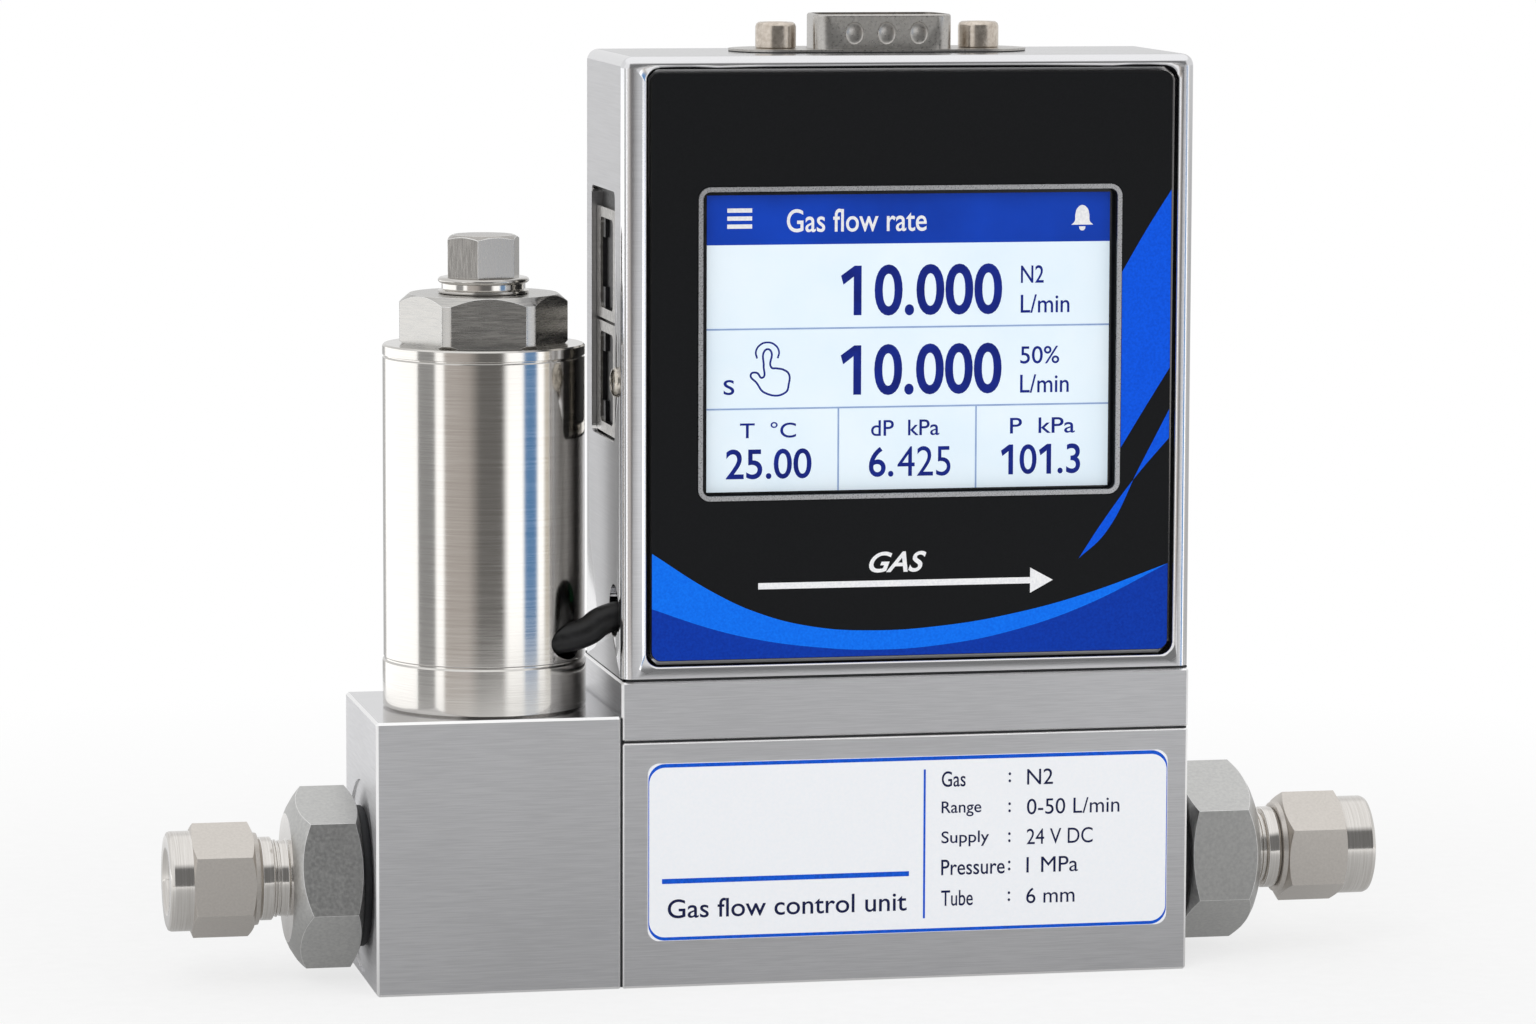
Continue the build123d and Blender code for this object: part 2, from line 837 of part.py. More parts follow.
with BuildPart() as valve_orifice:
    turned(
        valve_section,
        (orifice_bore_radius, seat_floor - orifice_thickness),
        (orifice_radius - slip, seat_floor - orifice_thickness),
        (orifice_radius - slip, seat_floor),
        (nozzle_radius, seat_floor),
        (nozzle_radius, nozzle_top),
        (orifice_bore_radius, nozzle_top),
    )
valve_orifice.part.label = "valve_orifice"
export_step(valve_orifice.part, "parts/valve_orifice.step")

with BuildPart() as seat_disc:
    with BuildSketch(valve_plane(nozzle_top)):
        Circle(seat_disc_radius)
    extrude(amount=seat_disc_thickness)
seat_disc.part.label = "seat_disc"
export_step(seat_disc.part, "parts/seat_disc.step")

with BuildPart() as plunger:
    with BuildSketch(valve_plane(plunger_bottom)):
        Circle(plunger_radius)
    extrude(amount=plunger_length)
    round_holes(valve_plane(plunger_top), [(0, 0)], spring_bore_radius, spring_bore_depth)
    with BuildSketch(valve_plane(plunger_bottom)):
        Circle(seat_disc_radius + slip)
    extrude(amount=seat_disc_thickness - seat_disc_stand, mode=Mode.SUBTRACT)
plunger.part.label = "plunger"
export_step(plunger.part, "parts/plunger.step")

# Closing spring between the plunger and the pole piece, of square wire
spring_bottom = plunger_top - spring_bore_depth
spring_gap = spring_wire / 2 + slip
spring_rise = pole_piece_bottom - spring_bottom - 2 * spring_gap
with BuildPart() as plunger_spring:
    with BuildLine(valve_plane(spring_bottom + spring_gap)):
        Helix(spring_rise / spring_turns, spring_rise, spring_radius)
    with BuildSketch(valve_section):
        with Locations((spring_radius, spring_bottom + spring_gap)):
            Rectangle(spring_wire, spring_wire)
    sweep(is_frenet=True)
plunger_spring.part.label = "plunger_spring"
export_step(plunger_spring.part, "parts/plunger_spring.step")

# Guide tube, screwed into the block, and the pole piece that stops the plunger
with BuildPart() as guide_tube:
    turned(
        valve_section,
        (guide_bore_radius, guide_bottom),
        (tube_plug_radius - slip, guide_bottom),
        (tube_plug_radius - slip, valve_block_height),
        (guide_tube_radius, valve_block_height),
        (guide_tube_radius, guide_top),
        (guide_bore_radius, guide_top),
    )
guide_tube.part.label = "guide_tube"
export_step(guide_tube.part, "parts/guide_tube.step")

with BuildPart() as guide_gasket:
    ring(valve_section, chamber_radius + hole_clearance, tube_plug_radius - slip, tube_step, guide_bottom)
guide_gasket.part.label = "guide_gasket"
export_step(guide_gasket.part, "parts/guide_gasket.step")

with BuildPart() as pole_piece:
    with BuildSketch(valve_plane(pole_piece_bottom)):
        Circle(guide_bore_radius - slip)
    extrude(amount=pole_piece_top - pole_piece_bottom)
pole_piece.part.label = "pole_piece"
export_step(pole_piece.part, "parts/pole_piece.step")

# Coil stack over the guide tube: base ring, can, coil, top ring and clamp nut
stack_bore_radius = guide_tube_radius + slip
coil_radius = can_radius - can_wall - coil_clearance
lead_top = cable_low_z + cable_radius + loose
lead_back = cable_y + cable_radius + loose

with BuildPart() as valve_base_ring:
    ring(valve_section, stack_bore_radius, base_ring_radius, valve_block_height, base_ring_top)
valve_base_ring.part.label = "valve_base_ring"
export_step(valve_base_ring.part, "parts/valve_base_ring.step")

with BuildPart() as coil_can:
    ring(valve_section, can_radius - can_wall, can_radius, base_ring_top, can_top)
    with BuildSketch(across_flow(valve_x, cable_y, cable_low_z)):
        Circle(can_hole_radius)
    extrude(amount=can_radius, mode=Mode.SUBTRACT)
coil_can.part.label = "coil_can"
export_step(coil_can.part, "parts/coil_can.step")

with BuildPart() as solenoid_coil:
    ring(valve_section, stack_bore_radius, coil_radius, base_ring_top, can_top)
    with BuildSketch(Plane.XY.offset(base_ring_top)):
        with Locations((cable_start_x, lead_back)):
            Rectangle(can_radius, can_radius, align=(Align.MIN, Align.MAX))
    extrude(amount=lead_top - base_ring_top, mode=Mode.SUBTRACT)
solenoid_coil.part.label = "solenoid_coil"
export_step(solenoid_coil.part, "parts/solenoid_coil.step")

with BuildPart() as can_top_ring:
    ring(valve_section, stack_bore_radius, top_ring_radius, can_top, top_ring_top)
can_top_ring.part.label = "can_top_ring"
export_step(can_top_ring.part, "parts/can_top_ring.step")

with BuildPart() as clamp_nut:
    with BuildSketch(valve_plane(top_ring_top)):
        RegularPolygon(clamp_nut_hex / 2, 6, major_radius=False, rotation=clamp_nut_turn)
    extrude(amount=clamp_nut_height)
    turned(
        valve_section,
        (0, top_ring_top),
        (clamp_nut_foot_radius, top_ring_top),
        (clamp_nut_corner_radius, top_ring_top + clamp_nut_foot_chamfer),
        (clamp_nut_corner_radius, clamp_nut_top - clamp_nut_chamfer),
        (clamp_nut_face_radius, clamp_nut_top),
        (0, clamp_nut_top),
        mode=Mode.INTERSECT,
    )
    round_holes(valve_plane(clamp_nut_top), [(0, 0)], stack_bore_radius, clamp_nut_height)
clamp_nut.part.label = "clamp_nut"
export_step(clamp_nut.part, "parts/clamp_nut.step")

# Adjusting stem: small hexagon, collar on the nut, and a shank down to the pole piece
with BuildPart() as adjusting_stem:
    with BuildSketch(valve_plane(stem_collar_top)):
        RegularPolygon(stem_hex / 2, 6, major_radius=False, rotation=stem_hex_turn)
    extrude(amount=stem_hex_height)
    stem_top = stem_collar_top + stem_hex_height
    stem_corner_radius = stem_hex / sqrt(3)
    turned(
        valve_section,
        (0, stem_collar_top),
        (stem_corner_radius, stem_collar_top),
        (stem_corner_radius, stem_top - stem_chamfer),
        (stem_corner_radius - 2 * stem_chamfer, stem_top),
        (0, stem_top),
        mode=Mode.INTERSECT,
    )
    turned(
        valve_section,
        (0, pole_piece_top),
        (guide_bore_radius - slip, pole_piece_top),
        (guide_bore_radius - slip, clamp_nut_top),
        (stem_collar_radius, clamp_nut_top),
        (stem_collar_radius, stem_collar_top),
        (0, stem_collar_top),
    )
adjusting_stem.part.label = "adjusting_stem"
export_step(adjusting_stem.part, "parts/adjusting_stem.step")

# Cable from the coil's lead-out, through the can and the housing, to its plug on the main board
cable_slant = sqrt((cable_high_x - cable_low_x) ** 2 + (cable_high_z - cable_low_z) ** 2)
with BuildPart() as valve_cable:
    with BuildLine() as cable_route:
        route = [
            (cable_start_x, cable_y, cable_low_z),
            (cable_low_x, cable_y, cable_low_z),
            (cable_high_x, cable_y, cable_high_z),
            (plug_left, cable_y, cable_high_z),
        ]
        turn = Vector(1, 0, 0).get_angle(Vector(*route[2]) - Vector(*route[1]))
        cable_bend_radius = cable_bend_share * cable_slant / tan(radians(turn / 2))
        FilletPolyline(*route, radius=cable_bend_radius)
    with BuildSketch(across_flow(cable_start_x, cable_y, cable_low_z)):
        Circle(cable_radius)
    sweep()
valve_cable.part.label = "valve_cable"
export_step(valve_cable.part, "parts/valve_cable.step")
print("cable bend radius", round(cable_bend_radius, 2))

with BuildPart() as cable_plug:
    with BuildSketch(across_flow(plug_left)):
        with Locations((board_front, cable_high_z)):
            Rectangle(plug_depth, plug_height, align=(Align.MAX, Align.CENTER))
    extrude(amount=plug_length)
cable_plug.part.label = "cable_plug"
export_step(cable_plug.part, "parts/cable_plug.step")

# Housing shell, open at the back, with a recess and a screen opening in its thick front wall
panel_corner = recess_corner - panel_gap / 2
screen_length = window_length + 2 * screen_overlap
screen_height = window_height + 2 * screen_overlap
boss_x = (inner_left + boss_size / 2, inner_right - boss_size / 2)
boss_z = (inner_bottom + boss_size / 2, inner_top - boss_size / 2)
boss_places = [(x, z) for x in boss_x for z in boss_z]
socket_hole_back = socket_back_side + pocket_gap
socket_hole_bottom = socket_lower_z - pocket_gap
jackscrew_places = [(connector_x + i * jackscrew_spacing / 2, connector_y) for i in (-1, 1)]
top_clearance = jackscrew_shank_radius + hole_clearance


def shell_outline(inset):
    """The connector shell's outline, that far inside its outer wall: the long side is in front."""
    rear_length = shell_length - 2 * shell_width * tan(radians(shell_slope))
    corners = [
        (connector_x - shell_length / 2, connector_y - shell_width / 2),
        (connector_x + shell_length / 2, connector_y - shell_width / 2),
        (connector_x + rear_length / 2, connector_y + shell_width / 2),
        (connector_x - rear_length / 2, connector_y + shell_width / 2),
    ]
    with BuildSketch(mode=Mode.PRIVATE) as outline:
        with BuildLine():
            Polyline(*corners, close=True)
        make_face()
        fillet(outline.vertices(), shell_corner)
        offset(amount=-inset)
    return outline.sketch


with BuildPart() as housing_shell:
    with BuildSketch(Plane.XY.offset(land_top)):
        with Locations((housing_x, (housing_front + housing_back) / 2)):
            Rectangle(housing_length, housing_back - housing_front)
    extrude(amount=housing_height)
    top_edges = housing_shell.faces().sort_by(Axis.Z)[-1].edges()
    fillet([*housing_shell.edges().filter_by(Axis.Z), *top_edges], housing_fillet)
    with BuildSketch(front_plane(front_wall_back)):
        with Locations((housing_x, housing_z)):
            Rectangle(inner_right - inner_left, inner_top - inner_bottom)
    extrude(amount=front_wall_back - housing_back, mode=Mode.SUBTRACT)
    with BuildSketch(front_plane(front_wall_back)):
        with Locations(*boss_places):
            Rectangle(boss_size, boss_size)
    extrude(amount=front_wall_back - cover_front)
    with BuildSketch(front_plane(front_wall_back)):
        with Locations((inner_left, earth_screw_z)):
            Rectangle(earth_boss_depth, earth_boss_height, align=(Align.MIN, Align.CENTER))
    extrude(amount=front_wall_back - pocket_front)
    with BuildSketch(front_plane(housing_front)):
        with Locations((panel_x, housing_z)):
            RectangleRounded(recess_length, recess_height, recess_corner)
    extrude(amount=-recess_depth, mode=Mode.SUBTRACT)
    chamfer(housing_shell.faces().sort_by(Axis.Y)[0].inner_wires().edges(), recess_chamfer)
    with BuildSketch(front_plane(panel_back)):
        with Locations((window_x, window_z)):
            Rectangle(screen_length + 2 * loose, screen_height + 2 * loose)
    extrude(amount=-front_wall, mode=Mode.SUBTRACT)
    with BuildSketch(Plane.XY.offset(land_top)):
        window_left = upstream_tap_x - sensor_overhang - sensor_window_gap
        window_right = probe_x + stem_radius + sensor_window_gap
        with Locations(((window_left + window_right) / 2, 0)):
            Rectangle(window_right - window_left, sensor_depth + 2 * sensor_window_gap)
    extrude(amount=housing_wall, mode=Mode.SUBTRACT)
    with BuildSketch(across_flow(joint_face)):
        with Locations(((pocket_front + socket_hole_back) / 2, (socket_hole_bottom + pocket_top) / 2)):
            RectangleRounded(
                socket_hole_back - pocket_front, pocket_top - socket_hole_bottom, pocket_corner
            )
    extrude(amount=housing_wall, mode=Mode.SUBTRACT)
    with BuildSketch(across_flow(joint_face)):
        with Locations((cable_y, cable_high_z)):
            Circle(housing_hole_radius)
    extrude(amount=housing_wall, mode=Mode.SUBTRACT)
    with BuildSketch(across_flow(joint_face)):
        with Locations((earth_screw_y, earth_screw_z)):
            Circle(earth_screw_radius + slip)
    extrude(amount=earth_screw_length + slip, mode=Mode.SUBTRACT)
    round_holes(Plane.XY.offset(housing_top), jackscrew_places, top_clearance, housing_wall)
    with BuildSketch(Plane.XY.offset(housing_top)):
        add(shell_outline(-hole_clearance))
    extrude(amount=-housing_wall, mode=Mode.SUBTRACT)
    round_holes(
        Plane.XY.offset(inner_bottom),
        housing_screw_places,
        housing_screw_radius + hole_clearance,
        housing_wall,
    )
    round_holes(
        back_plane(cover_front),
        [(-x, z) for x, z in boss_places],
        cover_screw_radius + hole_clearance,
        cover_screw_length,
    )
housing_shell.part.label = "housing_shell"
export_step(housing_shell.part, "parts/housing_shell.step")

with BuildPart() as housing_screws:
    screws(
        Plane.XY.offset(inner_bottom),
        housing_screw_places,
        housing_screw_head_radius,
        housing_screw_head_height,
        housing_screw_radius,
        housing_screw_length,
    )
housing_screws.part.label = "housing_screws"
export_step(housing_screws.part, "parts/housing_screws.step")

# Rear cover, let in between the walls and screwed to the four corner bosses
with BuildPart() as rear_cover:
    with BuildSketch(back_plane(cover_front)):
        with Locations((-housing_x, housing_z)):
            Rectangle(inner_right - inner_left - 2 * cover_gap, inner_top - inner_bottom - 2 * cover_gap)
        with Locations(*[(-x, z) for x, z in boss_places]):
            Circle(cover_screw_radius + hole_clearance, mode=Mode.SUBTRACT)
    extrude(amount=cover_thickness)
rear_cover.part.label = "rear_cover"
export_step(rear_cover.part, "parts/rear_cover.step")

with BuildPart() as cover_screws:
    screws(
        back_plane(housing_back),
        [(-x, z) for x, z in boss_places],
        cover_screw_head_radius,
        cover_screw_head_height,
        cover_screw_radius,
        cover_screw_length,
    )
cover_screws.part.label = "cover_screws"
export_step(cover_screws.part, "parts/cover_screws.step")

# Front panel with its window, and the thin frame let into the window's rim
with BuildPart() as front_panel:
    with BuildSketch(front_plane(panel_back)):
        with Locations((panel_x, housing_z)):
            RectangleRounded(recess_length - 2 * panel_gap, recess_height - 2 * panel_gap, panel_corner)
        with Locations((window_x, window_z)):
            RectangleRounded(window_length, window_height, window_corner, mode=Mode.SUBTRACT)
    extrude(amount=panel_thickness)
    with BuildSketch(front_plane(panel_front)):
        with Locations((window_x, window_z)):
            RectangleRounded(
                window_length + 2 * frame_width + 2 * slip,
                window_height + 2 * frame_width + 2 * slip,
                window_corner + frame_width + slip,
            )
    extrude(amount=frame_stand - frame_thickness, mode=Mode.SUBTRACT)
front_panel.part.label = "front_panel"
export_step(front_panel.part, "parts/front_panel.step")

with BuildPart() as window_frame:
    with BuildSketch(front_plane(panel_front + frame_thickness - frame_stand)):
        with Locations((window_x, window_z)):
            RectangleRounded(
                window_length + 2 * frame_width, window_height + 2 * frame_width, window_corner + frame_width
            )
            RectangleRounded(window_length, window_height, window_corner, mode=Mode.SUBTRACT)
    extrude(amount=frame_thickness)
window_frame.part.label = "window_frame"
export_step(window_frame.part, "parts/window_frame.step")

# Display: cover glass in the screen opening, module behind it, foam pads to the main board
with BuildPart() as display_screen:
    with BuildSketch(front_plane(panel_back)):
        with Locations((window_x, window_z)):
            Rectangle(screen_length, screen_height)
    extrude(amount=panel_back - front_wall_back)
display_screen.part.label = "display_screen"
export_step(display_screen.part, "parts/display_screen.step")

with BuildPart() as display_module:
    with BuildSketch(front_plane(front_wall_back)):
        with Locations((window_x, window_z)):
            Rectangle(module_length, module_height)
    extrude(amount=-module_thickness)
display_module.part.label = "display_module"
export_step(display_module.part, "parts/display_module.step")

with BuildPart() as display_pads:
    with BuildSketch(front_plane(module_back)):
        with Locations((window_x, window_z)):
            with GridLocations(module_length - pad_size, module_height - pad_size, 2, 2):
                Rectangle(pad_size, pad_size)
    extrude(amount=-board_gap)
display_pads.part.label = "display_pads"
export_step(display_pads.part, "parts/display_pads.step")

# Main board on four posts, notched round the sockets, with its largest chips
socket_notch_right = socket_left + socket_depth + board_margin
socket_notch_bottom = socket_lower_z - board_margin
socket_notch_top = socket_upper_z + socket_size + board_margin
with BuildPart() as main_board:
    with BuildSketch(front_plane(board_front)):
        with Locations((board_left, board_bottom)):
            Rectangle(board_right - board_left, board_top - board_bottom, align=(Align.MIN, Align.MIN))
        with Locations((board_left, socket_notch_bottom)):
            Rectangle(
                socket_notch_right - board_left,
                socket_notch_top - socket_notch_bottom,
                align=(Align.MIN, Align.MIN),
                mode=Mode.SUBTRACT,
            )
    extrude(amount=-board_thickness)
main_board.part.label = "main_board"
export_step(main_board.part, "parts/main_board.step")

with BuildPart() as board_chips:
    for (chip_x, chip_z), (chip_length, chip_height) in zip(chip_spots, chip_sizes):
        with BuildSketch(back_plane(board_back)):
            with Locations((-window_x - chip_x, window_z + chip_z)):
                Rectangle(chip_length, chip_height)
        extrude(amount=chip_thickness)
board_chips.part.label = "board_chips"
export_step(board_chips.part, "parts/board_chips.step")

with BuildPart() as board_posts:
    with BuildSketch(front_plane(front_wall_back)):
        with Locations(*[(x, z) for x in post_x for z in post_z]):
            RegularPolygon(post_hex / 2, 6, major_radius=False)
    extrude(amount=front_wall_back - board_front)
board_posts.part.label = "board_posts"
export_step(board_posts.part, "parts/board_posts.step")

# Interface board behind the sockets, on longer posts from the main board
with BuildPart() as interface_board:
    with BuildSketch(front_plane(rear_board_front)):
        with Locations((board_left, rear_board_bottom)):
            Rectangle(
                rear_board_right - board_left, board_top - rear_board_bottom, align=(Align.MIN, Align.MIN)
            )
    extrude(amount=-board_thickness)
interface_board.part.label = "interface_board"
export_step(interface_board.part, "parts/interface_board.step")

with BuildPart() as interface_posts:
    with BuildSketch(front_plane(board_back)):
        with Locations(*[(x, z) for x in rear_post_x for z in rear_post_z]):
            RegularPolygon(post_hex / 2, 6, major_radius=False)
    extrude(amount=board_back - rear_board_front)
interface_posts.part.label = "interface_posts"
export_step(interface_posts.part, "parts/interface_posts.step")

# Data sockets: plastic bodies with a stepped opening, inside sheet shields that also cover their
# fronts, and their contacts
body_size = socket_size - 2 * socket_wall
body_front = socket_left + socket_wall
socket_places = [(socket_y, z + socket_size / 2) for z in (socket_lower_z, socket_upper_z)]
opening_places = [(y + plug_opening_shift, z) for y, z in socket_places]
latch_places = [(y + plug_opening_width / 2, z) for y, z in opening_places]
contact_places = [(y - plug_opening_width / 2, z) for y, z in opening_places]
shield_opening_width = plug_opening_width + latch_width

with BuildPart() as socket_shields:
    with BuildSketch(across_flow(socket_left)):
        with Locations(*socket_places):
            Rectangle(socket_size, socket_size)
    extrude(amount=socket_depth)
    with BuildSketch(across_flow(body_front)):
        with Locations(*socket_places):
            Rectangle(body_size, body_size)
    extrude(amount=socket_depth - 2 * socket_wall, mode=Mode.SUBTRACT)
    with BuildSketch(across_flow(socket_left)):
        with Locations(*socket_places):
            RectangleRounded(shield_opening_width, plug_opening_height, shield_opening_corner)
    extrude(amount=socket_wall, mode=Mode.SUBTRACT)
socket_shields.part.label = "socket_shields"
export_step(socket_shields.part, "parts/socket_shields.step")

with BuildPart() as socket_bodies:
    with BuildSketch(across_flow(body_front)):
        with Locations(*socket_places):
            Rectangle(body_size, body_size)
    extrude(amount=socket_depth - 2 * socket_wall)
    with BuildSketch(across_flow(body_front)):
        with Locations(*opening_places):
            Rectangle(plug_opening_width, plug_opening_height)
        with Locations(*latch_places):
            Rectangle(latch_width, latch_height, align=(Align.MIN, Align.CENTER))
    extrude(amount=plug_opening_depth, mode=Mode.SUBTRACT)
socket_bodies.part.label = "socket_bodies"
export_step(socket_bodies.part, "parts/socket_bodies.step")

with BuildPart() as socket_contacts:
    with BuildSketch(across_flow(body_front + plug_opening_depth)):
        with Locations(*contact_places):
            with GridLocations(0, contact_pitch, 1, contact_count):
                Rectangle(contact_height, contact_width, align=(Align.MIN, Align.CENTER))
    extrude(amount=-contact_length)
socket_contacts.part.label = "socket_contacts"
export_step(socket_contacts.part, "parts/socket_contacts.step")

with BuildPart() as earth_screw:
    with BuildSketch(across_flow(joint_face)):
        with Locations((earth_screw_y, earth_screw_z)):
            Circle(earth_screw_head_radius)
    extrude(amount=-earth_screw_stand)
    with BuildSketch(across_flow(joint_face)):
        with Locations((earth_screw_y, earth_screw_z)):
            Circle(earth_screw_radius)
    extrude(amount=earth_screw_length)
earth_screw.part.label = "earth_screw"
export_step(earth_screw.part, "parts/earth_screw.step")

# Top connector: gasket, flanged shell, insulator, pins and the two jackscrews
gasket_top = housing_top + top_gasket_thickness
shell_top = housing_top + shell_stand
insulator_top = shell_top - insulator_top_depth
with BuildPart() as connector_gasket:
    with BuildSketch(Plane.XY.offset(housing_top)):
        with Locations((connector_x, connector_y)):
            SlotOverall(gasket_length, gasket_width)
        add(shell_outline(-hole_clearance), mode=Mode.SUBTRACT)
        with Locations(*jackscrew_places):
            Circle(top_clearance, mode=Mode.SUBTRACT)
    extrude(amount=top_gasket_thickness)
connector_gasket.part.label = "connector_gasket"
export_step(connector_gasket.part, "parts/connector_gasket.step")

with BuildPart() as connector_shell:
    with BuildSketch(Plane.XY.offset(inner_top - flange_thickness)):
        with Locations((connector_x, connector_y)):
            Rectangle(flange_length, flange_width)
        with Locations(*jackscrew_places):
            Circle(top_clearance, mode=Mode.SUBTRACT)
    extrude(amount=flange_thickness)
    with BuildSketch(Plane.XY.offset(inner_top)):
        add(shell_outline(0))
    extrude(amount=shell_top - inner_top)
    fillet(connector_shell.faces().sort_by(Axis.Z)[-1].edges(), shell_edge)
    with BuildSketch(Plane.XY.offset(inner_top - flange_thickness)):
        add(shell_outline(shell_wall))
    extrude(amount=shell_top - inner_top + flange_thickness, mode=Mode.SUBTRACT)
connector_shell.part.label = "connector_shell"
export_step(connector_shell.part, "parts/connector_shell.step")

with BuildPart() as connector_insulator:
    with BuildSketch(Plane.XY.offset(insulator_top)):
        add(shell_outline(shell_wall + slip))
    extrude(amount=-insulator_height)
connector_insulator.part.label = "connector_insulator"
export_step(connector_insulator.part, "parts/connector_insulator.step")

with BuildPart() as connector_pins:
    with BuildSketch(Plane.XY.offset(insulator_top)):
        with Locations((connector_x, connector_y - pin_row_gap / 2)):
            with GridLocations(pin_pitch, 0, 5, 1):
                Circle(pin_radius)
        with Locations((connector_x, connector_y + pin_row_gap / 2)):
            with GridLocations(pin_pitch, 0, 4, 1):
                Circle(pin_radius)
    extrude(amount=pin_length)
connector_pins.part.label = "connector_pins"
export_step(connector_pins.part, "parts/connector_pins.step")

with BuildPart() as jackscrews:
    screws(
        Plane.XY.offset(gasket_top),
        jackscrew_places,
        jackscrew_radius,
        jackscrew_height,
        jackscrew_shank_radius,
        jackscrew_shank_length,
    )
    round_holes(
        Plane.XY.offset(gasket_top + jackscrew_height),
        jackscrew_places,
        jackscrew_bore_radius,
        jackscrew_bore_depth,
    )
jackscrews.part.label = "jackscrews"
export_step(jackscrews.part, "parts/jackscrews.step")

# Sensors on the adapter plate, with their stems in the plate's counterbores
with BuildPart() as differential_sensor:
    with BuildSketch(Plane.XY.offset(land_top)):
        with Locations(((upstream_tap_x + downstream_tap_x) / 2, 0)):
            Rectangle(downstream_tap_x - upstream_tap_x + 2 * sensor_overhang, sensor_depth)
    extrude(amount=sensor_height)
    with BuildSketch(Plane.XY.offset(land_top)):
        with Locations((upstream_tap_x, 0), (downstream_tap_x, 0)):
            Circle(stem_radius)
    extrude(amount=-stem_length)
differential_sensor.part.label = "differential_sensor"
export_step(differential_sensor.part, "parts/differential_sensor.step")

with BuildPart() as absolute_sensor:
    with BuildSketch(Plane.XY.offset(land_top)):
        with Locations((absolute_tap_x, 0)):
            Circle(absolute_sensor_radius)
    extrude(amount=absolute_sensor_height)
    with BuildSketch(Plane.XY.offset(land_top)):
        with Locations((absolute_tap_x, 0)):
            Circle(stem_radius)
    extrude(amount=-stem_length)
absolute_sensor.part.label = "absolute_sensor"
export_step(absolute_sensor.part, "parts/absolute_sensor.step")

with BuildPart() as temperature_probe:
    with BuildSketch(Plane.XY.offset(stem_bottom)):
        with Locations((probe_x, 0)):
            Circle(stem_radius)
    extrude(amount=stem_length + probe_head_height)
    with BuildSketch(Plane.XY.offset(stem_bottom)):
        with Locations((probe_x, 0)):
            Circle(probe_radius)
    extrude(amount=-(stem_bottom - port_height))
temperature_probe.part.label = "temperature_probe"
export_step(temperature_probe.part, "parts/temperature_probe.step")
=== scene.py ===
import json
from math import degrees, pi, radians, sqrt

import bmesh
import bpy
from mathutils import Matrix, Vector


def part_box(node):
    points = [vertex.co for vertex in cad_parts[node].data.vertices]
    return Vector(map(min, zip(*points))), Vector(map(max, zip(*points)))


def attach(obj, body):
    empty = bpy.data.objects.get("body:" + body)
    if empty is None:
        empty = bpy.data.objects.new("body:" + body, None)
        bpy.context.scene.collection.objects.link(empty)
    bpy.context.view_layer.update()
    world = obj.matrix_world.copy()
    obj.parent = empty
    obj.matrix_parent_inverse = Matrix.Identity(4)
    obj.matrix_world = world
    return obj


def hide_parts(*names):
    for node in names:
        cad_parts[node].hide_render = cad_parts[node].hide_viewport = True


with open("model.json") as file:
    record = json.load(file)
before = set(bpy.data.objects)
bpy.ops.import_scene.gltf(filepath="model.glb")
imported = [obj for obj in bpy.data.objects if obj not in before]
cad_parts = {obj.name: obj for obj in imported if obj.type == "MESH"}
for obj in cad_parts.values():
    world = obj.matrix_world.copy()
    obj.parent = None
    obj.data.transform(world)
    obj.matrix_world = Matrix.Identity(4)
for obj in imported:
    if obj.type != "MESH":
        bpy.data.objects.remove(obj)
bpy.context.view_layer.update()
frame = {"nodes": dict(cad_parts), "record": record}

# Mass flow controller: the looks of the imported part. Sizes are in millimetres until MM turns
# them into metres. X runs along the flow, Y to the back and Z up.
MM = 0.001
scene = bpy.context.scene
scene.view_settings.view_transform = "Standard"

port_height = 12.4
end_face = 49.5
valve_x = -34.5
panel_front = -13.1
screen_front = -11.8
label_front = -13.65
label_rim_depth = 0.01
thin_print = 0.02
housing_top = 111.0
housing_left = -20.1
connector_x, connector_y = 13.6, 0.5


# Colours and shader nodes
def linear(code):
    """The linear colour of an sRGB hex code."""
    channels = [int(code[i : i + 2], 16) / 255 for i in (1, 3, 5)]
    return (*[c / 12.92 if c <= 0.04045 else ((c + 0.055) / 1.055) ** 2.4 for c in channels], 1.0)


def node(tree, kind, inputs=None, stops=(), **settings):
    """Adds a node with its settings. An input is a value, or the output that it is linked to."""
    made = tree.nodes.new(kind)
    for name, value in settings.items():
        setattr(made, name, value)
    for name, value in (inputs or {}).items():
        if isinstance(value, bpy.types.NodeSocket):
            tree.links.new(value, made.inputs[name])
        else:
            made.inputs[name].default_value = value
    for stop in stops[2:]:
        made.color_ramp.elements.new(stop[0])
    for element, (place, colour) in zip(made.color_ramp.elements if stops else (), stops):
        element.position, element.color = place, colour
    return made


def empty_material(name):
    """A material with an empty node tree."""
    material = bpy.data.materials.new(name)
    material.use_nodes = True
    material.node_tree.nodes.clear()
    return material, material.node_tree


def finish(material, tree, values):
    """Ends a material with its shader."""
    shader = node(tree, "ShaderNodeBsdfPrincipled", values)
    node(tree, "ShaderNodeOutputMaterial", {"Surface": shader.outputs[0]})
    return material


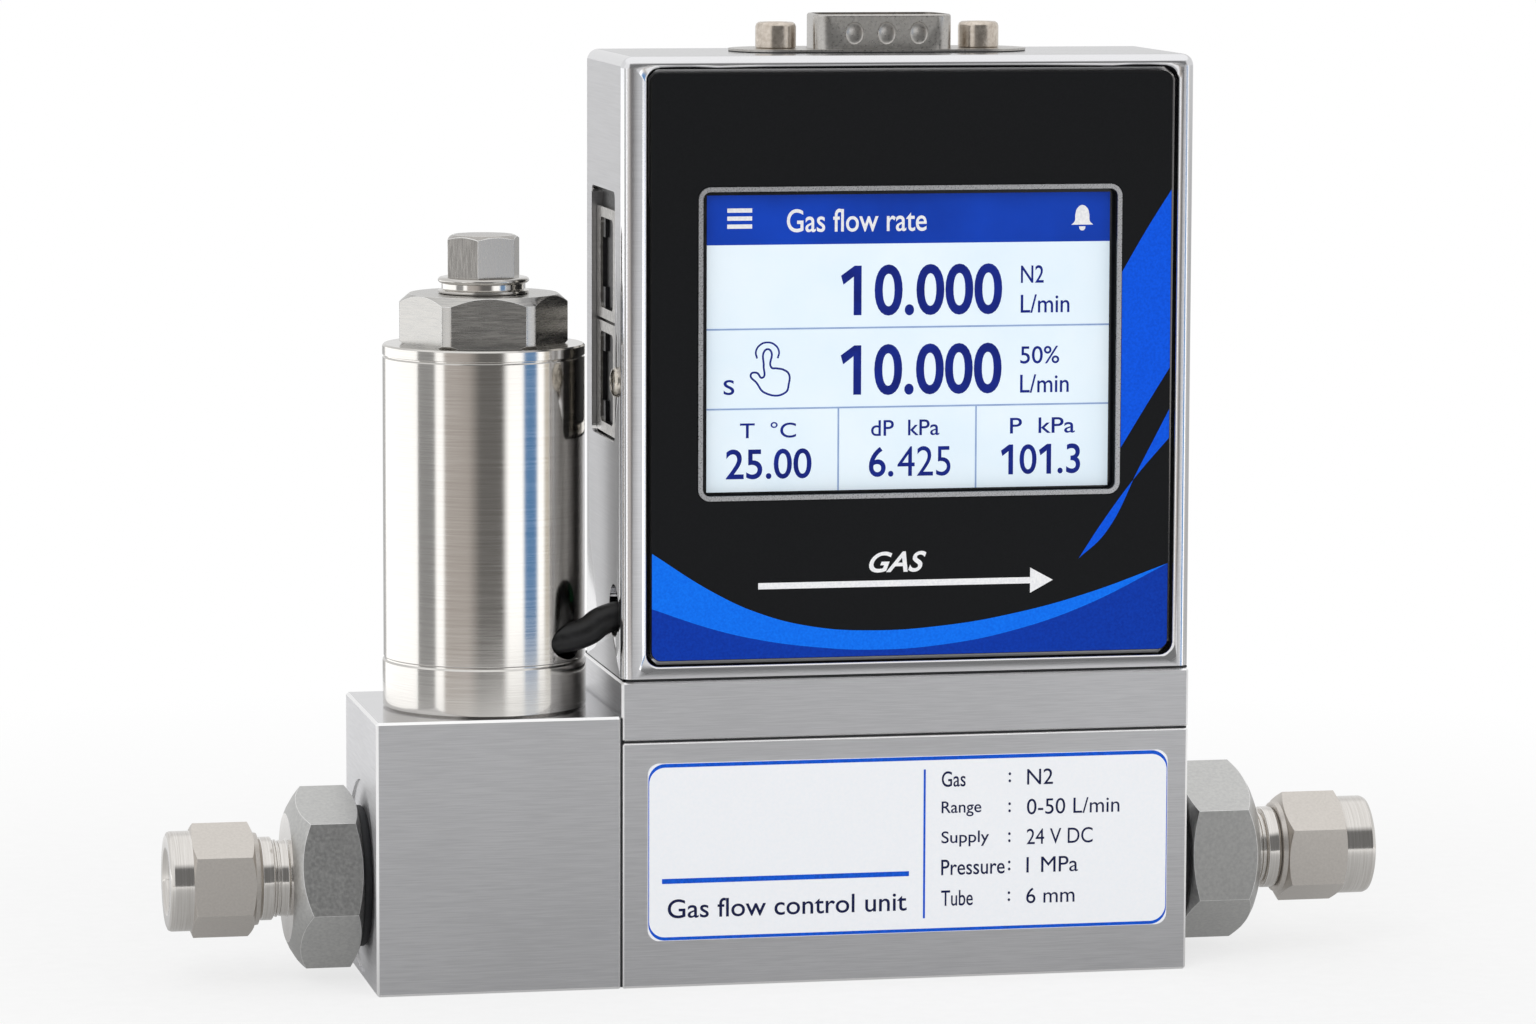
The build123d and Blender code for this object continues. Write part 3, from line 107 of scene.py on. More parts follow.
def surface(name, low, high, grain, roughness, metallic=0.0, stretch=(1, 1, 1), relief=0.0, **values):
    """A finish with one grain, of that size in millimetres, in its colour, gloss and relief."""
    material, tree = empty_material(name)
    where = node(tree, "ShaderNodeTexCoord")
    scale = [1 / (grain * MM * reach) for reach in stretch]
    spread = node(tree, "ShaderNodeMapping", {"Vector": where.outputs["Object"], "Scale": scale})
    grains = node(
        tree, "ShaderNodeTexNoise", {"Vector": spread.outputs[0], "Scale": 1.0, "Detail": 4.0}
    )
    tone = node(
        tree,
        "ShaderNodeValToRGB",
        {"Fac": grains.outputs["Fac"]},
        stops=((0.32, linear(low)), (0.68, linear(high))),
    )
    gloss = node(
        tree,
        "ShaderNodeMapRange",
        {
            "Value": grains.outputs["Fac"],
            "From Min": 0.32,
            "From Max": 0.68,
            "To Min": roughness[0],
            "To Max": roughness[1],
        },
    )
    values = {
        "Base Color": tone.outputs["Color"],
        "Roughness": gloss.outputs["Result"],
        "Metallic": metallic,
        **{key.replace("_", " "): value for key, value in values.items()},
    }
    if relief:
        bump = node(
            tree, "ShaderNodeBump", {"Height": grains.outputs["Fac"], "Distance": relief * MM}
        )
        values["Normal"] = bump.outputs["Normal"]
    return finish(material, tree, values)


def brushed(name, low, high, edge, stroke, flat_gloss, top_gloss, edge_gloss, relief):
    """Metal brushed along its length, with a highlight painted in a lighter colour on its broken edges,
    and a smoother top.
    """
    material, tree = empty_material(name)
    where = node(tree, "ShaderNodeTexCoord")
    shape = node(tree, "ShaderNodeNewGeometry")
    facing = node(
        tree, "ShaderNodeVectorMath", {0: shape.outputs["Normal"]}, operation="ABSOLUTE"
    )
    facing_parts = node(tree, "ShaderNodeSeparateXYZ", {0: facing.outputs[0]})
    long_scale, fine_scale = 1 / (stroke[0] * MM), 1 / (stroke[1] * MM)
    along = node(
        tree,
        "ShaderNodeMapping",
        {"Vector": where.outputs["Object"], "Scale": (long_scale, fine_scale, fine_scale)},
    )
    across = node(
        tree,
        "ShaderNodeMapping",
        {"Vector": where.outputs["Object"], "Scale": (fine_scale, long_scale, fine_scale)},
    )
    is_end = node(
        tree, "ShaderNodeMath", {0: facing_parts.outputs["X"], 1: 0.75}, operation="GREATER_THAN"
    )
    lines = node(
        tree,
        "ShaderNodeMix",
        {0: is_end.outputs[0], 4: along.outputs[0], 5: across.outputs[0]},
        data_type="VECTOR",
    )
    strokes = node(
        tree, "ShaderNodeTexNoise", {"Vector": lines.outputs[1], "Scale": 1.0, "Detail": 5.0}
    )
    patches = node(
        tree,
        "ShaderNodeTexNoise",
        {"Vector": where.outputs["Object"], "Scale": 1 / (22 * MM), "Detail": 1.0},
    )
    patched = node(
        tree,
        "ShaderNodeMath",
        {0: patches.outputs["Fac"], 1: 0.35, 2: strokes.outputs["Fac"]},
        operation="MULTIPLY_ADD",
    )
    tone = node(
        tree,
        "ShaderNodeValToRGB",
        {"Fac": patched.outputs[0]},
        stops=((0.5, linear(low)), (0.85, linear(high))),
    )
    widest = node(
        tree,
        "ShaderNodeMath",
        {0: facing_parts.outputs["X"], 1: facing_parts.outputs["Y"]},
        operation="MAXIMUM",
    )
    squareness = node(
        tree,
        "ShaderNodeMath",
        {0: widest.outputs[0], 1: facing_parts.outputs["Z"]},
        operation="MAXIMUM",
    )
    # Painted highlight: faces that are neither square nor flat, the broken edges, are picked out here
    edge_highlight_mask = node(
        tree, "ShaderNodeMath", {0: squareness.outputs[0], 1: 0.985}, operation="LESS_THAN"
    )
    is_top = node(
        tree, "ShaderNodeMath", {0: facing_parts.outputs["Z"], 1: 0.985}, operation="GREATER_THAN"
    )
    # The edge colour over the brushed tone is a painted highlight
    colour = node(
        tree,
        "ShaderNodeMix",
        {0: edge_highlight_mask.outputs[0], 6: tone.outputs["Color"], 7: linear(edge)},
        data_type="RGBA",
    )
    flat = node(
        tree,
        "ShaderNodeMapRange",
        {"Value": strokes.outputs["Fac"], "To Min": flat_gloss[0], "To Max": flat_gloss[1]},
    )
    topped = node(
        tree,
        "ShaderNodeMix",
        {0: is_top.outputs[0], 2: flat.outputs[0], 3: top_gloss},
        data_type="FLOAT",
    )
    gloss = node(
        tree,
        "ShaderNodeMix",
        {0: edge_highlight_mask.outputs[0], 2: topped.outputs[0], 3: edge_gloss},
        data_type="FLOAT",
    )
    bump = node(
        tree, "ShaderNodeBump", {"Height": strokes.outputs["Fac"], "Distance": relief * MM}
    )
    return finish(
        material,
        tree,
        {
            "Base Color": colour.outputs[2],
            "Metallic": 1.0,
            "Roughness": gloss.outputs[0],
            "Normal": bump.outputs["Normal"],
        },
    )


# Stainless bar, milled and brushed lengthways: short fine strokes, and a white highlight painted on the
# broken edges
brushed_stainless = brushed(
    "brushed_stainless", "#D3D3D5", "#DFDFE1", "#FFFFFF", (4.0, 0.14), (0.42, 0.5), 0.16, 0.3, 0.0006
)
# Aluminium housing, brushed on its faces and polished over its rounded corners, which also carry a
# highlight painted in a lighter colour
brushed_aluminium = brushed(
    "brushed_aluminium", "#C6C6C8", "#D0D0D2", "#E6E6E8", (9.0, 0.16), (0.28, 0.34), 0.22, 0.14, 0.0003
)
# Steel turned on a lathe and polished: fine rings across the can that roughen its reflections
turned_can_steel = surface(
    "turned_can_steel", "#CCC9C5", "#D6D4D0", 0.12, (0.11, 0.15), 1.0, (60, 60, 1), 0.00004
)
# Milled hexagon of the valve, brushed level across its flats
brushed_hexagon_steel = surface(
    "brushed_hexagon_steel", "#B2B1AF", "#C8C6C2", 0.14, (0.22, 0.32), 1.0, (18, 18, 1), 0.0005
)
# Small hexagon on the stem, with upright marks from drawing
drawn_hexagon_steel = surface(
    "drawn_hexagon_steel", "#A29F9B", "#BAB7B3", 0.14, (0.18, 0.3), 1.0, (1, 1, 14), 0.0005
)
# Tumbled fitting steel: satin, warm and mottled on its flats and cones
tumbled_fitting_steel = surface(
    "tumbled_fitting_steel", "#CBC6C0", "#D5D0CA", 0.3, (0.3, 0.38), 1.0, relief=0.0005
)
# The large hexagons, blasted after milling: grey with a coarse even grain
blasted_hexagon_steel = surface(
    "blasted_hexagon_steel", "#BDBDBC", "#CDCDCB", 0.4, (0.34, 0.44), 1.0, relief=0.0015
)
# The fittings' necks and ends, turned bright
turned_fitting_steel = surface(
    "turned_fitting_steel", "#CFCBC6", "#E2DFDB", 0.12, (0.08, 0.14), 1.0, (1, 60, 60), 0.0001
)
# Broken corner where two faces meet, painted near white as a highlight
edge_highlight_steel = surface(
    "edge_highlight_steel", "#F2F1EF", "#FFFFFF", 0.3, (0.3, 0.4), 1.0
)
# Machined steel inside the valve and the bores
machined_steel = surface(
    "machined_steel", "#9D9EA0", "#C2C3C5", 0.15, (0.22, 0.34), 1.0, (12, 12, 1), 0.002
)
# Bright zinc on the screws
zinc_plating = surface("zinc_plating", "#BDB6AC", "#DAD4CA", 0.35, (0.16, 0.26), 1.0, relief=0.0006)
# Moulded nitrile seal, matt with a faint bloom
moulded_nitrile = surface("moulded_nitrile", "#121316", "#26272B", 0.5, (0.45, 0.65), relief=0.01)
# Cable jacket, extruded rubber with a soft shine
extruded_rubber = surface(
    "extruded_rubber", "#0B0B0C", "#1C1C1E", 0.8, (0.34, 0.5), relief=0.02, Specular_IOR_Level=0.45
)
# Panel film, satin black with a fine tooth
satin_black_film = surface(
    "satin_black_film", "#131416", "#18191B", 0.18, (0.4, 0.52), relief=0.0002, Specular_IOR_Level=0.12
)
# Screen printing on the panel: flat inks with a slight tooth
inks = {
    name: surface(f"print_{name}", low, high, 0.3, (0.4, 0.5), Specular_IOR_Level=shine)
    for name, low, high, shine in (
        ("bright_blue", "#006CF2", "#0A7BFF", 0.12),
        ("deep_blue", "#0133A2", "#043DB4", 0.12),
        ("mid_blue", "#0052DE", "#055DF0", 0.12),
        ("white", "#EDEEF2", "#FFFFFF", 0.3),
        ("label_blue", "#0A50C4", "#145FE0", 0.12),
        ("ink", "#12183C", "#1A2150", 0.12),
    )
}
# Label film: white polyester with a slight blue cast
white_polyester = surface(
    "white_polyester", "#F7FAFE", "#FBFCFF", 0.4, (0.3, 0.4), Specular_IOR_Level=0.2
)
# Anodised rim round the window
anodised_rim = surface("anodised_rim", "#B9BABD", "#CFD0D3", 0.2, (0.25, 0.36), 1.0, relief=0.0003)
# Glass over the display's dark border
dark_glass = surface("dark_glass", "#0A0C10", "#12151B", 1.5, (0.08, 0.16))
# Lit pixels of the display, each field with the unevenness of its back light
lit_ground = surface(
    "lit_ground",
    "#E2F1FC",
    "#EAF6FE",
    9.0,
    (0.3, 0.4),
    Emission_Color=linear("#E6F4FD"),
    Emission_Strength=0.12,
    Specular_IOR_Level=0.2,
)
lit_title = surface(
    "lit_title",
    "#01349E",
    "#0241BC",
    14.0,
    (0.3, 0.4),
    Emission_Color=linear("#0139A8"),
    Emission_Strength=0.12,
    Specular_IOR_Level=0.2,
)
lit_figures = surface(
    "lit_figures", "#071C78", "#0C2690", 3.0, (0.3, 0.4), Specular_IOR_Level=0.2
)
lit_rules = surface(
    "lit_rules", "#8FA9D6", "#A3BAE0", 3.0, (0.3, 0.4), Specular_IOR_Level=0.2
)
# Pressed nickel steel of the sockets and the top connector
bright_nickel = surface("bright_nickel", "#C9C6C1", "#E6E3DE", 0.6, (0.12, 0.2), 1.0, relief=0.0006)
satin_nickel = surface("satin_nickel", "#B4B2AE", "#C9C6C2", 0.35, (0.26, 0.36), 1.0, relief=0.0015)
# The jackscrews, barrel plated with nickel: bright and slightly warm
plated_nickel = surface("plated_nickel", "#C4B9AD", "#E0D6CA", 0.6, (0.18, 0.26), 1.0, relief=0.0008)
# Plastics, boards and the rest of what is held inside
moulded_black_plastic = surface(
    "moulded_black_plastic", "#0E0E10", "#1B1B1E", 0.4, (0.35, 0.5), relief=0.004
)
moulded_white_plastic = surface(
    "moulded_white_plastic", "#DCDAD2", "#ECEAE2", 0.4, (0.4, 0.55), relief=0.004
)
pressed_module_steel = surface(
    "pressed_module_steel", "#9A9CA0", "#BFC1C4", 0.7, (0.25, 0.4), 1.0, relief=0.004
)
open_cell_foam = surface("open_cell_foam", "#18181A", "#2C2C30", 0.35, (0.8, 0.95), relief=0.05)
green_solder_mask = surface(
    "green_solder_mask", "#0B4A26", "#13693A", 0.8, (0.25, 0.4), relief=0.01
)
moulded_epoxy = surface("moulded_epoxy", "#131313", "#202022", 0.2, (0.5, 0.65), relief=0.004)
turned_brass = surface(
    "turned_brass", "#B59A4E", "#D2B868", 0.15, (0.2, 0.35), 1.0, (12, 12, 1), 0.002
)
gold_flash = surface("gold_flash", "#D9AE4E", "#EDC86C", 0.3, (0.15, 0.28), 1.0)
potted_resin = surface("potted_resin", "#17171A", "#26262A", 1.2, (0.35, 0.5), relief=0.01)
alumina_ceramic = surface("alumina_ceramic", "#D8D5CA", "#EBE9E0", 0.5, (0.5, 0.65), relief=0.004)
moulded_elastomer = surface("moulded_elastomer", "#191614", "#2A2622", 0.4, (0.5, 0.65))

finishes = {
    "manifold_steel": brushed_stainless,
    "housing_metal": brushed_aluminium,
    "can_steel": turned_can_steel,
    "fitting_steel": tumbled_fitting_steel,
    "valve_steel": brushed_hexagon_steel,
    "inner_steel": machined_steel,
    "screw_steel": zinc_plating,
    "seal_rubber": moulded_nitrile,
    "cable_rubber": extruded_rubber,
    "panel_black": satin_black_film,
    "frame_silver": anodised_rim,
    "screen": dark_glass,
    "label_film": white_polyester,
    "shield_metal": bright_nickel,
    "black_plastic": moulded_black_plastic,
    "white_plastic": moulded_white_plastic,
    "module_metal": pressed_module_steel,
    "foam": open_cell_foam,
    "board_green": green_solder_mask,
    "chip_black": moulded_epoxy,
    "post_brass": turned_brass,
    "contact_gold": gold_flash,
    "connector_nickel": satin_nickel,
    "coil_resin": potted_resin,
    "sensor_ceramic": alumina_ceramic,
    "seat_elastomer": moulded_elastomer,
}
for subpart in frame["record"]["subparts"]:
    for place in frame["nodes"][subpart["node"]].material_slots:
        place.material = finishes[subpart["material_slot"]]


# Shapes
def turned(outline, steps=144):
    """A closed outline of (radius, height) points, spun about Z."""
    shape = bmesh.new()
    points = [shape.verts.new((radius * MM, 0, height * MM)) for radius, height in outline]
    pairs = zip(range(len(outline)), [*range(1, len(outline)), 0])
    edges = [shape.edges.new((points[a], points[b])) for a, b in pairs if outline[a][0] + outline[b][0]]
    bmesh.ops.spin(
        shape,
        geom=[*points, *edges],
        cent=(0, 0, 0),
        axis=(0, 0, 1),
        angle=2 * pi,
        steps=steps,
        use_merge=True,
    )
    return tidied(shape)


def tidied(shape):
    """Merges the doubles and turns the faces outwards."""
    bmesh.ops.remove_doubles(shape, verts=shape.verts, dist=0.0002 * MM)
    bmesh.ops.recalc_face_normals(shape, faces=shape.faces)
    return shape


def hexagon(across, bottom, top, turn=0.0):
    """A hexagonal prism about Z with its first corner on +Y before the turn."""
    shape = bmesh.new()
    radius = across / sqrt(3) * MM
    spin = Matrix.Rotation(radians(turn), 4, "Z")
    lift = Matrix.Translation((0, 0, (bottom + top) / 2 * MM))
    bmesh.ops.create_cone(
        shape,
        cap_ends=True,
        segments=6,
        radius1=radius,
        radius2=radius,
        depth=(top - bottom) * MM,
        matrix=lift @ spin,
    )
    return tidied(shape)


def rod(start, end, radius, segments=48):
    """A straight round rod between two points."""
    shape = bmesh.new()
    start, end = Vector(start) * MM, Vector(end) * MM
    turn = Vector((0, 0, 1)).rotation_difference(end - start).to_matrix().to_4x4()
    bmesh.ops.create_cone(
        shape,
        cap_ends=True,
        segments=segments,
        radius1=radius * MM,
        radius2=radius * MM,
        depth=(end - start).length,
        matrix=Matrix.Translation((start + end) / 2) @ turn,
    )
    return tidied(shape)


def block(low, high):
    """A box between two corners."""
    shape = bmesh.new()
    low, high = Vector(low) * MM, Vector(high) * MM
    size = Matrix.Diagonal((*(high - low), 1.0))
    bmesh.ops.create_cube(shape, size=1.0, matrix=Matrix.Translation((low + high) / 2) @ size)
    return tidied(shape)


def moved(shape, matrix):
    """The shape after a transform."""
    bmesh.ops.transform(shape, matrix=matrix, verts=shape.verts)
    return shape


def object_of(shape, name="shape"):
    """An object that holds the shape."""
    mesh = bpy.data.meshes.new(name)
    shape.to_mesh(mesh)
    shape.free()
    made = bpy.data.objects.new(name, mesh)
    scene.collection.objects.link(made)
    return made


def own_shape(name):
    """The mesh of one of the part's own pieces, with its corners merged."""
    shape = bmesh.new()
    shape.from_mesh(frame["nodes"][name].data)
    bmesh.ops.remove_doubles(shape, verts=shape.verts, dist=0.001 * MM)
    return shape


def combined(first, second, operation):
    """What two closed shapes have in common, or what is left of the first."""
    parts = [object_of(shape) for shape in (first, second)]
    cut = parts[0].modifiers.new("cut", "BOOLEAN")
    cut.operation = operation
    cut.object = parts[1]
    cut.solver = "EXACT"
    result = bmesh.new()
    result.from_object(parts[0], bpy.context.evaluated_depsgraph_get())
    for part in parts:
        bpy.data.meshes.remove(part.data)
    bmesh.ops.dissolve_degenerate(result, dist=0.001 * MM, edges=result.edges)
    return tidied(result)


def joined(*shapes):
    """Several shapes as one."""
    whole = bmesh.new()
    for shape in shapes:
        mesh = bpy.data.meshes.new("shape")
        shape.to_mesh(mesh)
        shape.free()
        whole.from_mesh(mesh)
        bpy.data.meshes.remove(mesh)
    return whole


def crisp(shape, width, least=25, segments=2, finish=None):
    """Breaks the edges that turn by more than so many degrees, and gives them a finish of their own."""
    sharp = [
        edge
        for edge in shape.edges
        if len(edge.link_faces) == 2 and degrees(edge.calc_face_angle()) > least
    ]
    broken = bmesh.ops.bevel(
        shape,
        geom=sharp,
        offset=width * MM,
        offset_type="OFFSET",
        affect="EDGES",
        segments=segments,
        profile=0.5,
        material=-1,
        clamp_overlap=True,
    )["faces"]
    if finish is not None:
        for face in broken:
            face.material_index = finish
    return shape


def recessed(head, width, bottom, turns):
    """A screw head with a cross recess, cut down to that height."""
    for turn in turns:
        slit = block((-1.0, -width / 2, bottom), (1.0, width / 2, 2.0))
        head = combined(head, moved(slit, Matrix.Rotation(radians(turn), 4, "Z")), "DIFFERENCE")
    return head


def piece(name, shape, slot, materials=None, replaced=(), crease=40, even=True):
    """Ends a piece: its finish, smooth shading between sharp edges, and its body."""
    made = object_of(shape, name)
    for material in materials or [finishes[slot]]:
        made.data.materials.append(material)
    made.data.shade_smooth()
    made.data.set_sharp_from_angle(angle=radians(crease))
    if even:
        shading = made.modifiers.new("even shading", "WEIGHTED_NORMAL")
        shading.keep_sharp = True
    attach(made, "controller")
    if replaced:
        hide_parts(*replaced)
    return made


# Camera: fitted to the photograph's edges. Angles are in degrees, the focal length in its pixels
camera_target = Vector((0.255, 0, 55.362)) * MM
camera_distance = 744.0
camera_bearing, camera_pitch, camera_roll = -11.593, 6.547, 0.183
photo_width, focal_length = 1536, 6148.23
camera_turn = (
    Matrix.Rotation(radians(camera_bearing), 4, "Z")
    @ Matrix.Rotation(radians(90 - camera_pitch), 4, "X")
    @ Matrix.Rotation(radians(camera_roll), 4, "Z")
)
camera_data = bpy.data.cameras.new("camera")
camera_data.sensor_width = 36
camera_data.lens = camera_data.sensor_width * focal_length / photo_width
camera_data.clip_start = 0.05
camera_data.clip_end = 20
camera = bpy.data.objects.new("camera", camera_data)
scene.collection.objects.link(camera)
view_axis = camera_turn.to_3x3() @ Vector((0, 0, 1))
camera_place = camera_target + view_axis * camera_distance * MM
camera.matrix_world = Matrix.Translation(camera_place) @ camera_turn
scene.camera = camera

# Cable from the coil to the housing: the route's points as in the source, held at both ends
cable_y, cable_low, cable_high, cable_radius = -8.0, 41.3, 44.8, 1.75
cable_route = (
    (-31.5, cable_y, cable_low),
    (-24.2, cable_y, cable_low),
    (-20.7, cable_y, cable_high),
    (-12.0, cable_y, cable_high),
)
cable_curve = bpy.data.curves.new("coil_cable", "CURVE")
cable_curve.dimensions = "3D"
cable_line = cable_curve.splines.new("NURBS")
cable_line.points.add(len(cable_route) - 1)
for point, place in zip(cable_line.points, cable_route):
    point.co = (*[value * MM for value in place], 1.0)
cable_line.order_u = 3
cable_line.use_endpoint_u = True
cable_line.resolution_u = 24
cable_curve.bevel_depth = cable_radius * MM
cable_curve.bevel_resolution = 8
cable_curve.use_fill_caps = True
cable_curve.materials.append(extruded_rubber)
coil_cable = bpy.data.objects.new("coil_cable", cable_curve)
scene.collection.objects.link(coil_cable)
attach(coil_cable, "controller")
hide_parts("valve_cable")

# Housing: the shell's own shape with its rounded corners shaded smooth
housing = own_shape("housing_shell")
piece("housing", housing, "housing_metal", replaced=("housing_shell",), crease=32)

# Valve: base ring, can, top ring, clamp nut and adjusting stem about one upright axis
upright = Matrix.Translation((valve_x * MM, 0, 0))
bore = 5.05
block_top, base_top, can_top, ring_top, nut_top = 32.8, 38.8, 74.9, 76.4, 82.4
clamp_nut_flats, clamp_nut_turn = 18, 25
stem_flats, stem_turn = 8, 43
base_ring = turned(
    (
        (bore, block_top),
        (11.95, block_top),
        (12.2, block_top + 0.25),
        (12.2, base_top - 0.4),
        (12.0, base_top - 0.18),
        (12.0, base_top),
        (bore, base_top),
    )
)
piece("base_ring", moved(base_ring, upright), "valve_steel", [turned_can_steel], ("valve_base_ring",))

can = turned(
    (
        (10.575, base_top),
        (11.95, base_top),
        (12.075, base_top + 0.15),
        (12.075, can_top - 0.15),
        (11.95, can_top),
        (10.575, can_top),
    ),
    steps=192,
)
lead_hole = rod((0, cable_y, cable_low), (14.0, cable_y, cable_low), 2.2)
can = combined(can, lead_hole, "DIFFERENCE")
piece("can", moved(can, upright), "can_steel", replaced=("coil_can",))

top_ring = turned(
    (
        (bore, can_top),
        (11.8, can_top),
        (11.8, can_top + 0.15),
        (12.1, can_top + 0.25),
        (12.1, ring_top - 0.2),
        (11.9, ring_top),
        (bore, ring_top),
    )
)
piece("top_ring", moved(top_ring, upright), "valve_steel", [turned_can_steel], ("can_top_ring",))

nut_body = turned(
    (
        (bore, ring_top),
        (9.7, ring_top),
        (10.05, ring_top + 0.3),
        (10.05, nut_top - 1.0),
        (8.9, nut_top),
        (bore, nut_top),
    )
)
nut_hexagon = hexagon(clamp_nut_flats, 76, 83, clamp_nut_turn)
# The broken edges take the painted highlight
valve_nut = crisp(combined(nut_hexagon, nut_body, "INTERSECT"), 0.12, finish=1)
piece(
    "valve_clamp_nut",
    moved(valve_nut, upright),
    "valve_steel",
    [brushed_hexagon_steel, edge_highlight_steel],
    ("clamp_nut",),
)

stem_head = turned(((0, 84.3), (4.7, 84.3), (4.7, 88.85), (3.6, 89.4), (0, 89.4)))
stem_hexagon = hexagon(stem_flats, 84, 90, stem_turn)
# The broken edges take the painted highlight
stem_head = crisp(combined(stem_hexagon, stem_head, "INTERSECT"), 0.1, finish=1)
stem_collar = turned(
    (
        (0, 70.2),
        (4.1, 70.2),
        (4.1, nut_top),
        (5.2, nut_top),
        (5.4, 82.5),
        (5.45, 82.65),
        (5.4, 82.8),
        (5.2, 82.9),
        (5.0, 83.0),
        (5.0, 83.6),
        (5.25, 83.7),
        (5.42, 83.85),
        (5.45, 84.0),
        (5.42, 84.15),
        (5.25, 84.3),
        (4.9, 84.38),
        (0, 84.4),
    )
)
for face in stem_collar.faces:
    face.material_index = 2
piece(
    "valve_stem",
    moved(joined(stem_head, stem_collar), upright),
    "valve_steel",
    [drawn_hexagon_steel, edge_highlight_steel, turned_can_steel],
    ("adjusting_stem",),
)

# Compression fittings. For each end: its side, its name, where its hexagon starts and ends, how far
# the hexagon and the nut are turned, and how long the nut's round end is
fitting_flats, fitting_nut_flats = 19, 12
fittings = (
    (-1, "inlet", 0.9, 9.1, 14.3, 1.2, 2.8),
    (1, "outlet", 1.9, 11.0, -4.4, 5.0, 3.75),
)
for side, end, hex_start, hex_end, hex_turn, nut_turn, nut_end_length in fittings:
    # Local X is up and local Z runs outwards from the block's end face
    outwards = Matrix(
        (
            (0, 0, side, side * end_face * MM),
            (0, -side, 0, 0),
            (1, 0, 0, port_height * MM),
            (0, 0, 0, 1),
        )
    )
    collar = hex_end + 1.8
    nut_start = collar + 1.8
    thread_end = nut_start + 5.4
    nut_flat_end = nut_start + 8.0
    nut_end = nut_flat_end + nut_end_length
    ferrule_end = thread_end + 2.0

    seal = turned(
        (
            (6.6, -0.3),
            (8.2, -0.3),
            (8.45, 0.0),
            (8.5, hex_start / 2),
            (8.3, hex_start),
            (6.6, hex_start),
        )
    )
    piece(f"{end}_seal", moved(seal, outwards), "seal_rubber", replaced=(f"{end}_seal_ring",))

    body = turned(
        (
            (2.2, -7.5),
            (6.0, -7.5),
            (6.4, -7.0),
            (6.4, hex_start),
            (9.3, hex_start),
            (11.3, hex_start + 1.0),
            (11.3, hex_end - 2.3),
            (9.9, hex_end - 1.2),
            (8.7, hex_end - 0.45),
            (7.7, hex_end),
            (4.75, hex_end),
            (4.55, hex_end + 0.15),
            (4.55, hex_end + 1.0),
            (4.3, hex_end + 1.08),
            (4.3, hex_end + 1.22),
            (4.65, hex_end + 1.3),
            (4.65, hex_end + 1.46),
            (4.3, hex_end + 1.54),
            (4.3, collar - 0.1),
            (4.8, collar),
            (5.0, collar + 0.15),
            (5.0, collar + 1.4),
            (4.85, collar + 1.65),
            (4.75, nut_start),
            (4.75, thread_end),
            (4.05, thread_end),
            (3.05, thread_end - 2.0),
            (3.05, thread_end - 8.0),
            (2.2, thread_end - 8.0),
        )
    )
    body_hexagon = hexagon(fitting_flats, -8, thread_end + 1, 30 + hex_turn)
    body = combined(body_hexagon, body, "INTERSECT")
    for face in body.faces:
        middle = face.calc_center_median()
        if Vector((middle.x, middle.y)).length < 6.5 * MM:
            face.material_index = 1
    # The broken edges take the painted highlight
    body = crisp(body, 0.13, least=22, finish=2)
    piece(
        f"{end}_body",
        moved(body, outwards),
        "fitting_steel",
        [blasted_hexagon_steel, turned_fitting_steel, edge_highlight_steel],
        (f"{end}_connector",),
    )

    nut = turned(
        (
            (4.8, nut_start),
            (5.5, nut_start),
            (5.6, nut_start + 0.55),
            (6.0, nut_start + 0.6),
            (7.1, nut_start + 1.15),
            (7.1, nut_flat_end - 0.45),
            (6.0, nut_flat_end),
            (6.0, nut_end - 0.5),
            (5.85, nut_end - 0.15),
            (5.5, nut_end),
            (4.1, nut_end),
            (3.15, nut_end - 0.9),
            (3.15, ferrule_end),
            (4.8, ferrule_end),
        )
    )
    nut_hexagon = hexagon(fitting_nut_flats, nut_start - 1, nut_end + 1, 30 + nut_turn)
    nut = combined(nut_hexagon, nut, "INTERSECT")
    for face in nut.faces:
        middle = face.calc_center_median()
        if middle.z > nut_flat_end * MM:
            face.material_index = 1
    # The broken edges take the painted highlight
    nut = crisp(nut, 0.1, least=22, finish=2)
    piece(
        f"{end}_fitting_nut",
        moved(nut, outwards),
        "fitting_steel",
        [tumbled_fitting_steel, turned_fitting_steel, edge_highlight_steel],
        (f"{end}_nut",),
    )

# Earth screw: low domed head with a cross recess, and its shank
earth_y, earth_height = -10.4, 72.4
to_left = Matrix(
    (
        (0, 0, -1, housing_left * MM),
        (0, 1, 0, earth_y * MM),
        (1, 0, 0, earth_height * MM),
        (0, 0, 0, 1),
    )
)
screw = turned(
    (
        (0, -4.0),
        (0.9, -4.0),
        (0.9, 0),
        (1.8, 0),
        (1.8, 0.3),
        (1.6, 0.6),
        (1.2, 0.78),
        (0.7, 0.85),
        (0, 0.85),
    ),
    steps=64,
)
screw = recessed(screw, 0.34, 0.4, (35, 125))
piece("earth_terminal", moved(crisp(screw, 0.05), to_left), "screw_steel", replaced=("earth_screw",))

# Cover screws: pan heads with cross recesses, at the four corners of the rear cover
cover_heads = []
low_corner, high_corner = (Vector(corner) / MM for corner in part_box("cover_screws"))
head_radius = 1.9
cover_face = 11.9
for x in (low_corner.x + head_radius, high_corner.x - head_radius):
    for z in (low_corner.z + head_radius, high_corner.z - head_radius):
        head = turned(
            (
                (0, -6.0),
                (1.0, -6.0),
                (1.0, 0),
                (head_radius, 0),
                (head_radius, 0.5),
                (1.7, 0.85),
                (1.2, 1.05),
                (0, 1.1),
            ),
            steps=48,
        )
        head = recessed(head, 0.36, 0.45, (20, 110))
        to_back = Matrix(
            ((-1, 0, 0, x * MM), (0, 0, 1, cover_face * MM), (0, 1, 0, z * MM), (0, 0, 0, 1))
        )
        cover_heads.append(moved(crisp(head, 0.05), to_back))
piece("rear_screws", joined(*cover_heads), "screw_steel", replaced=("cover_screws",))

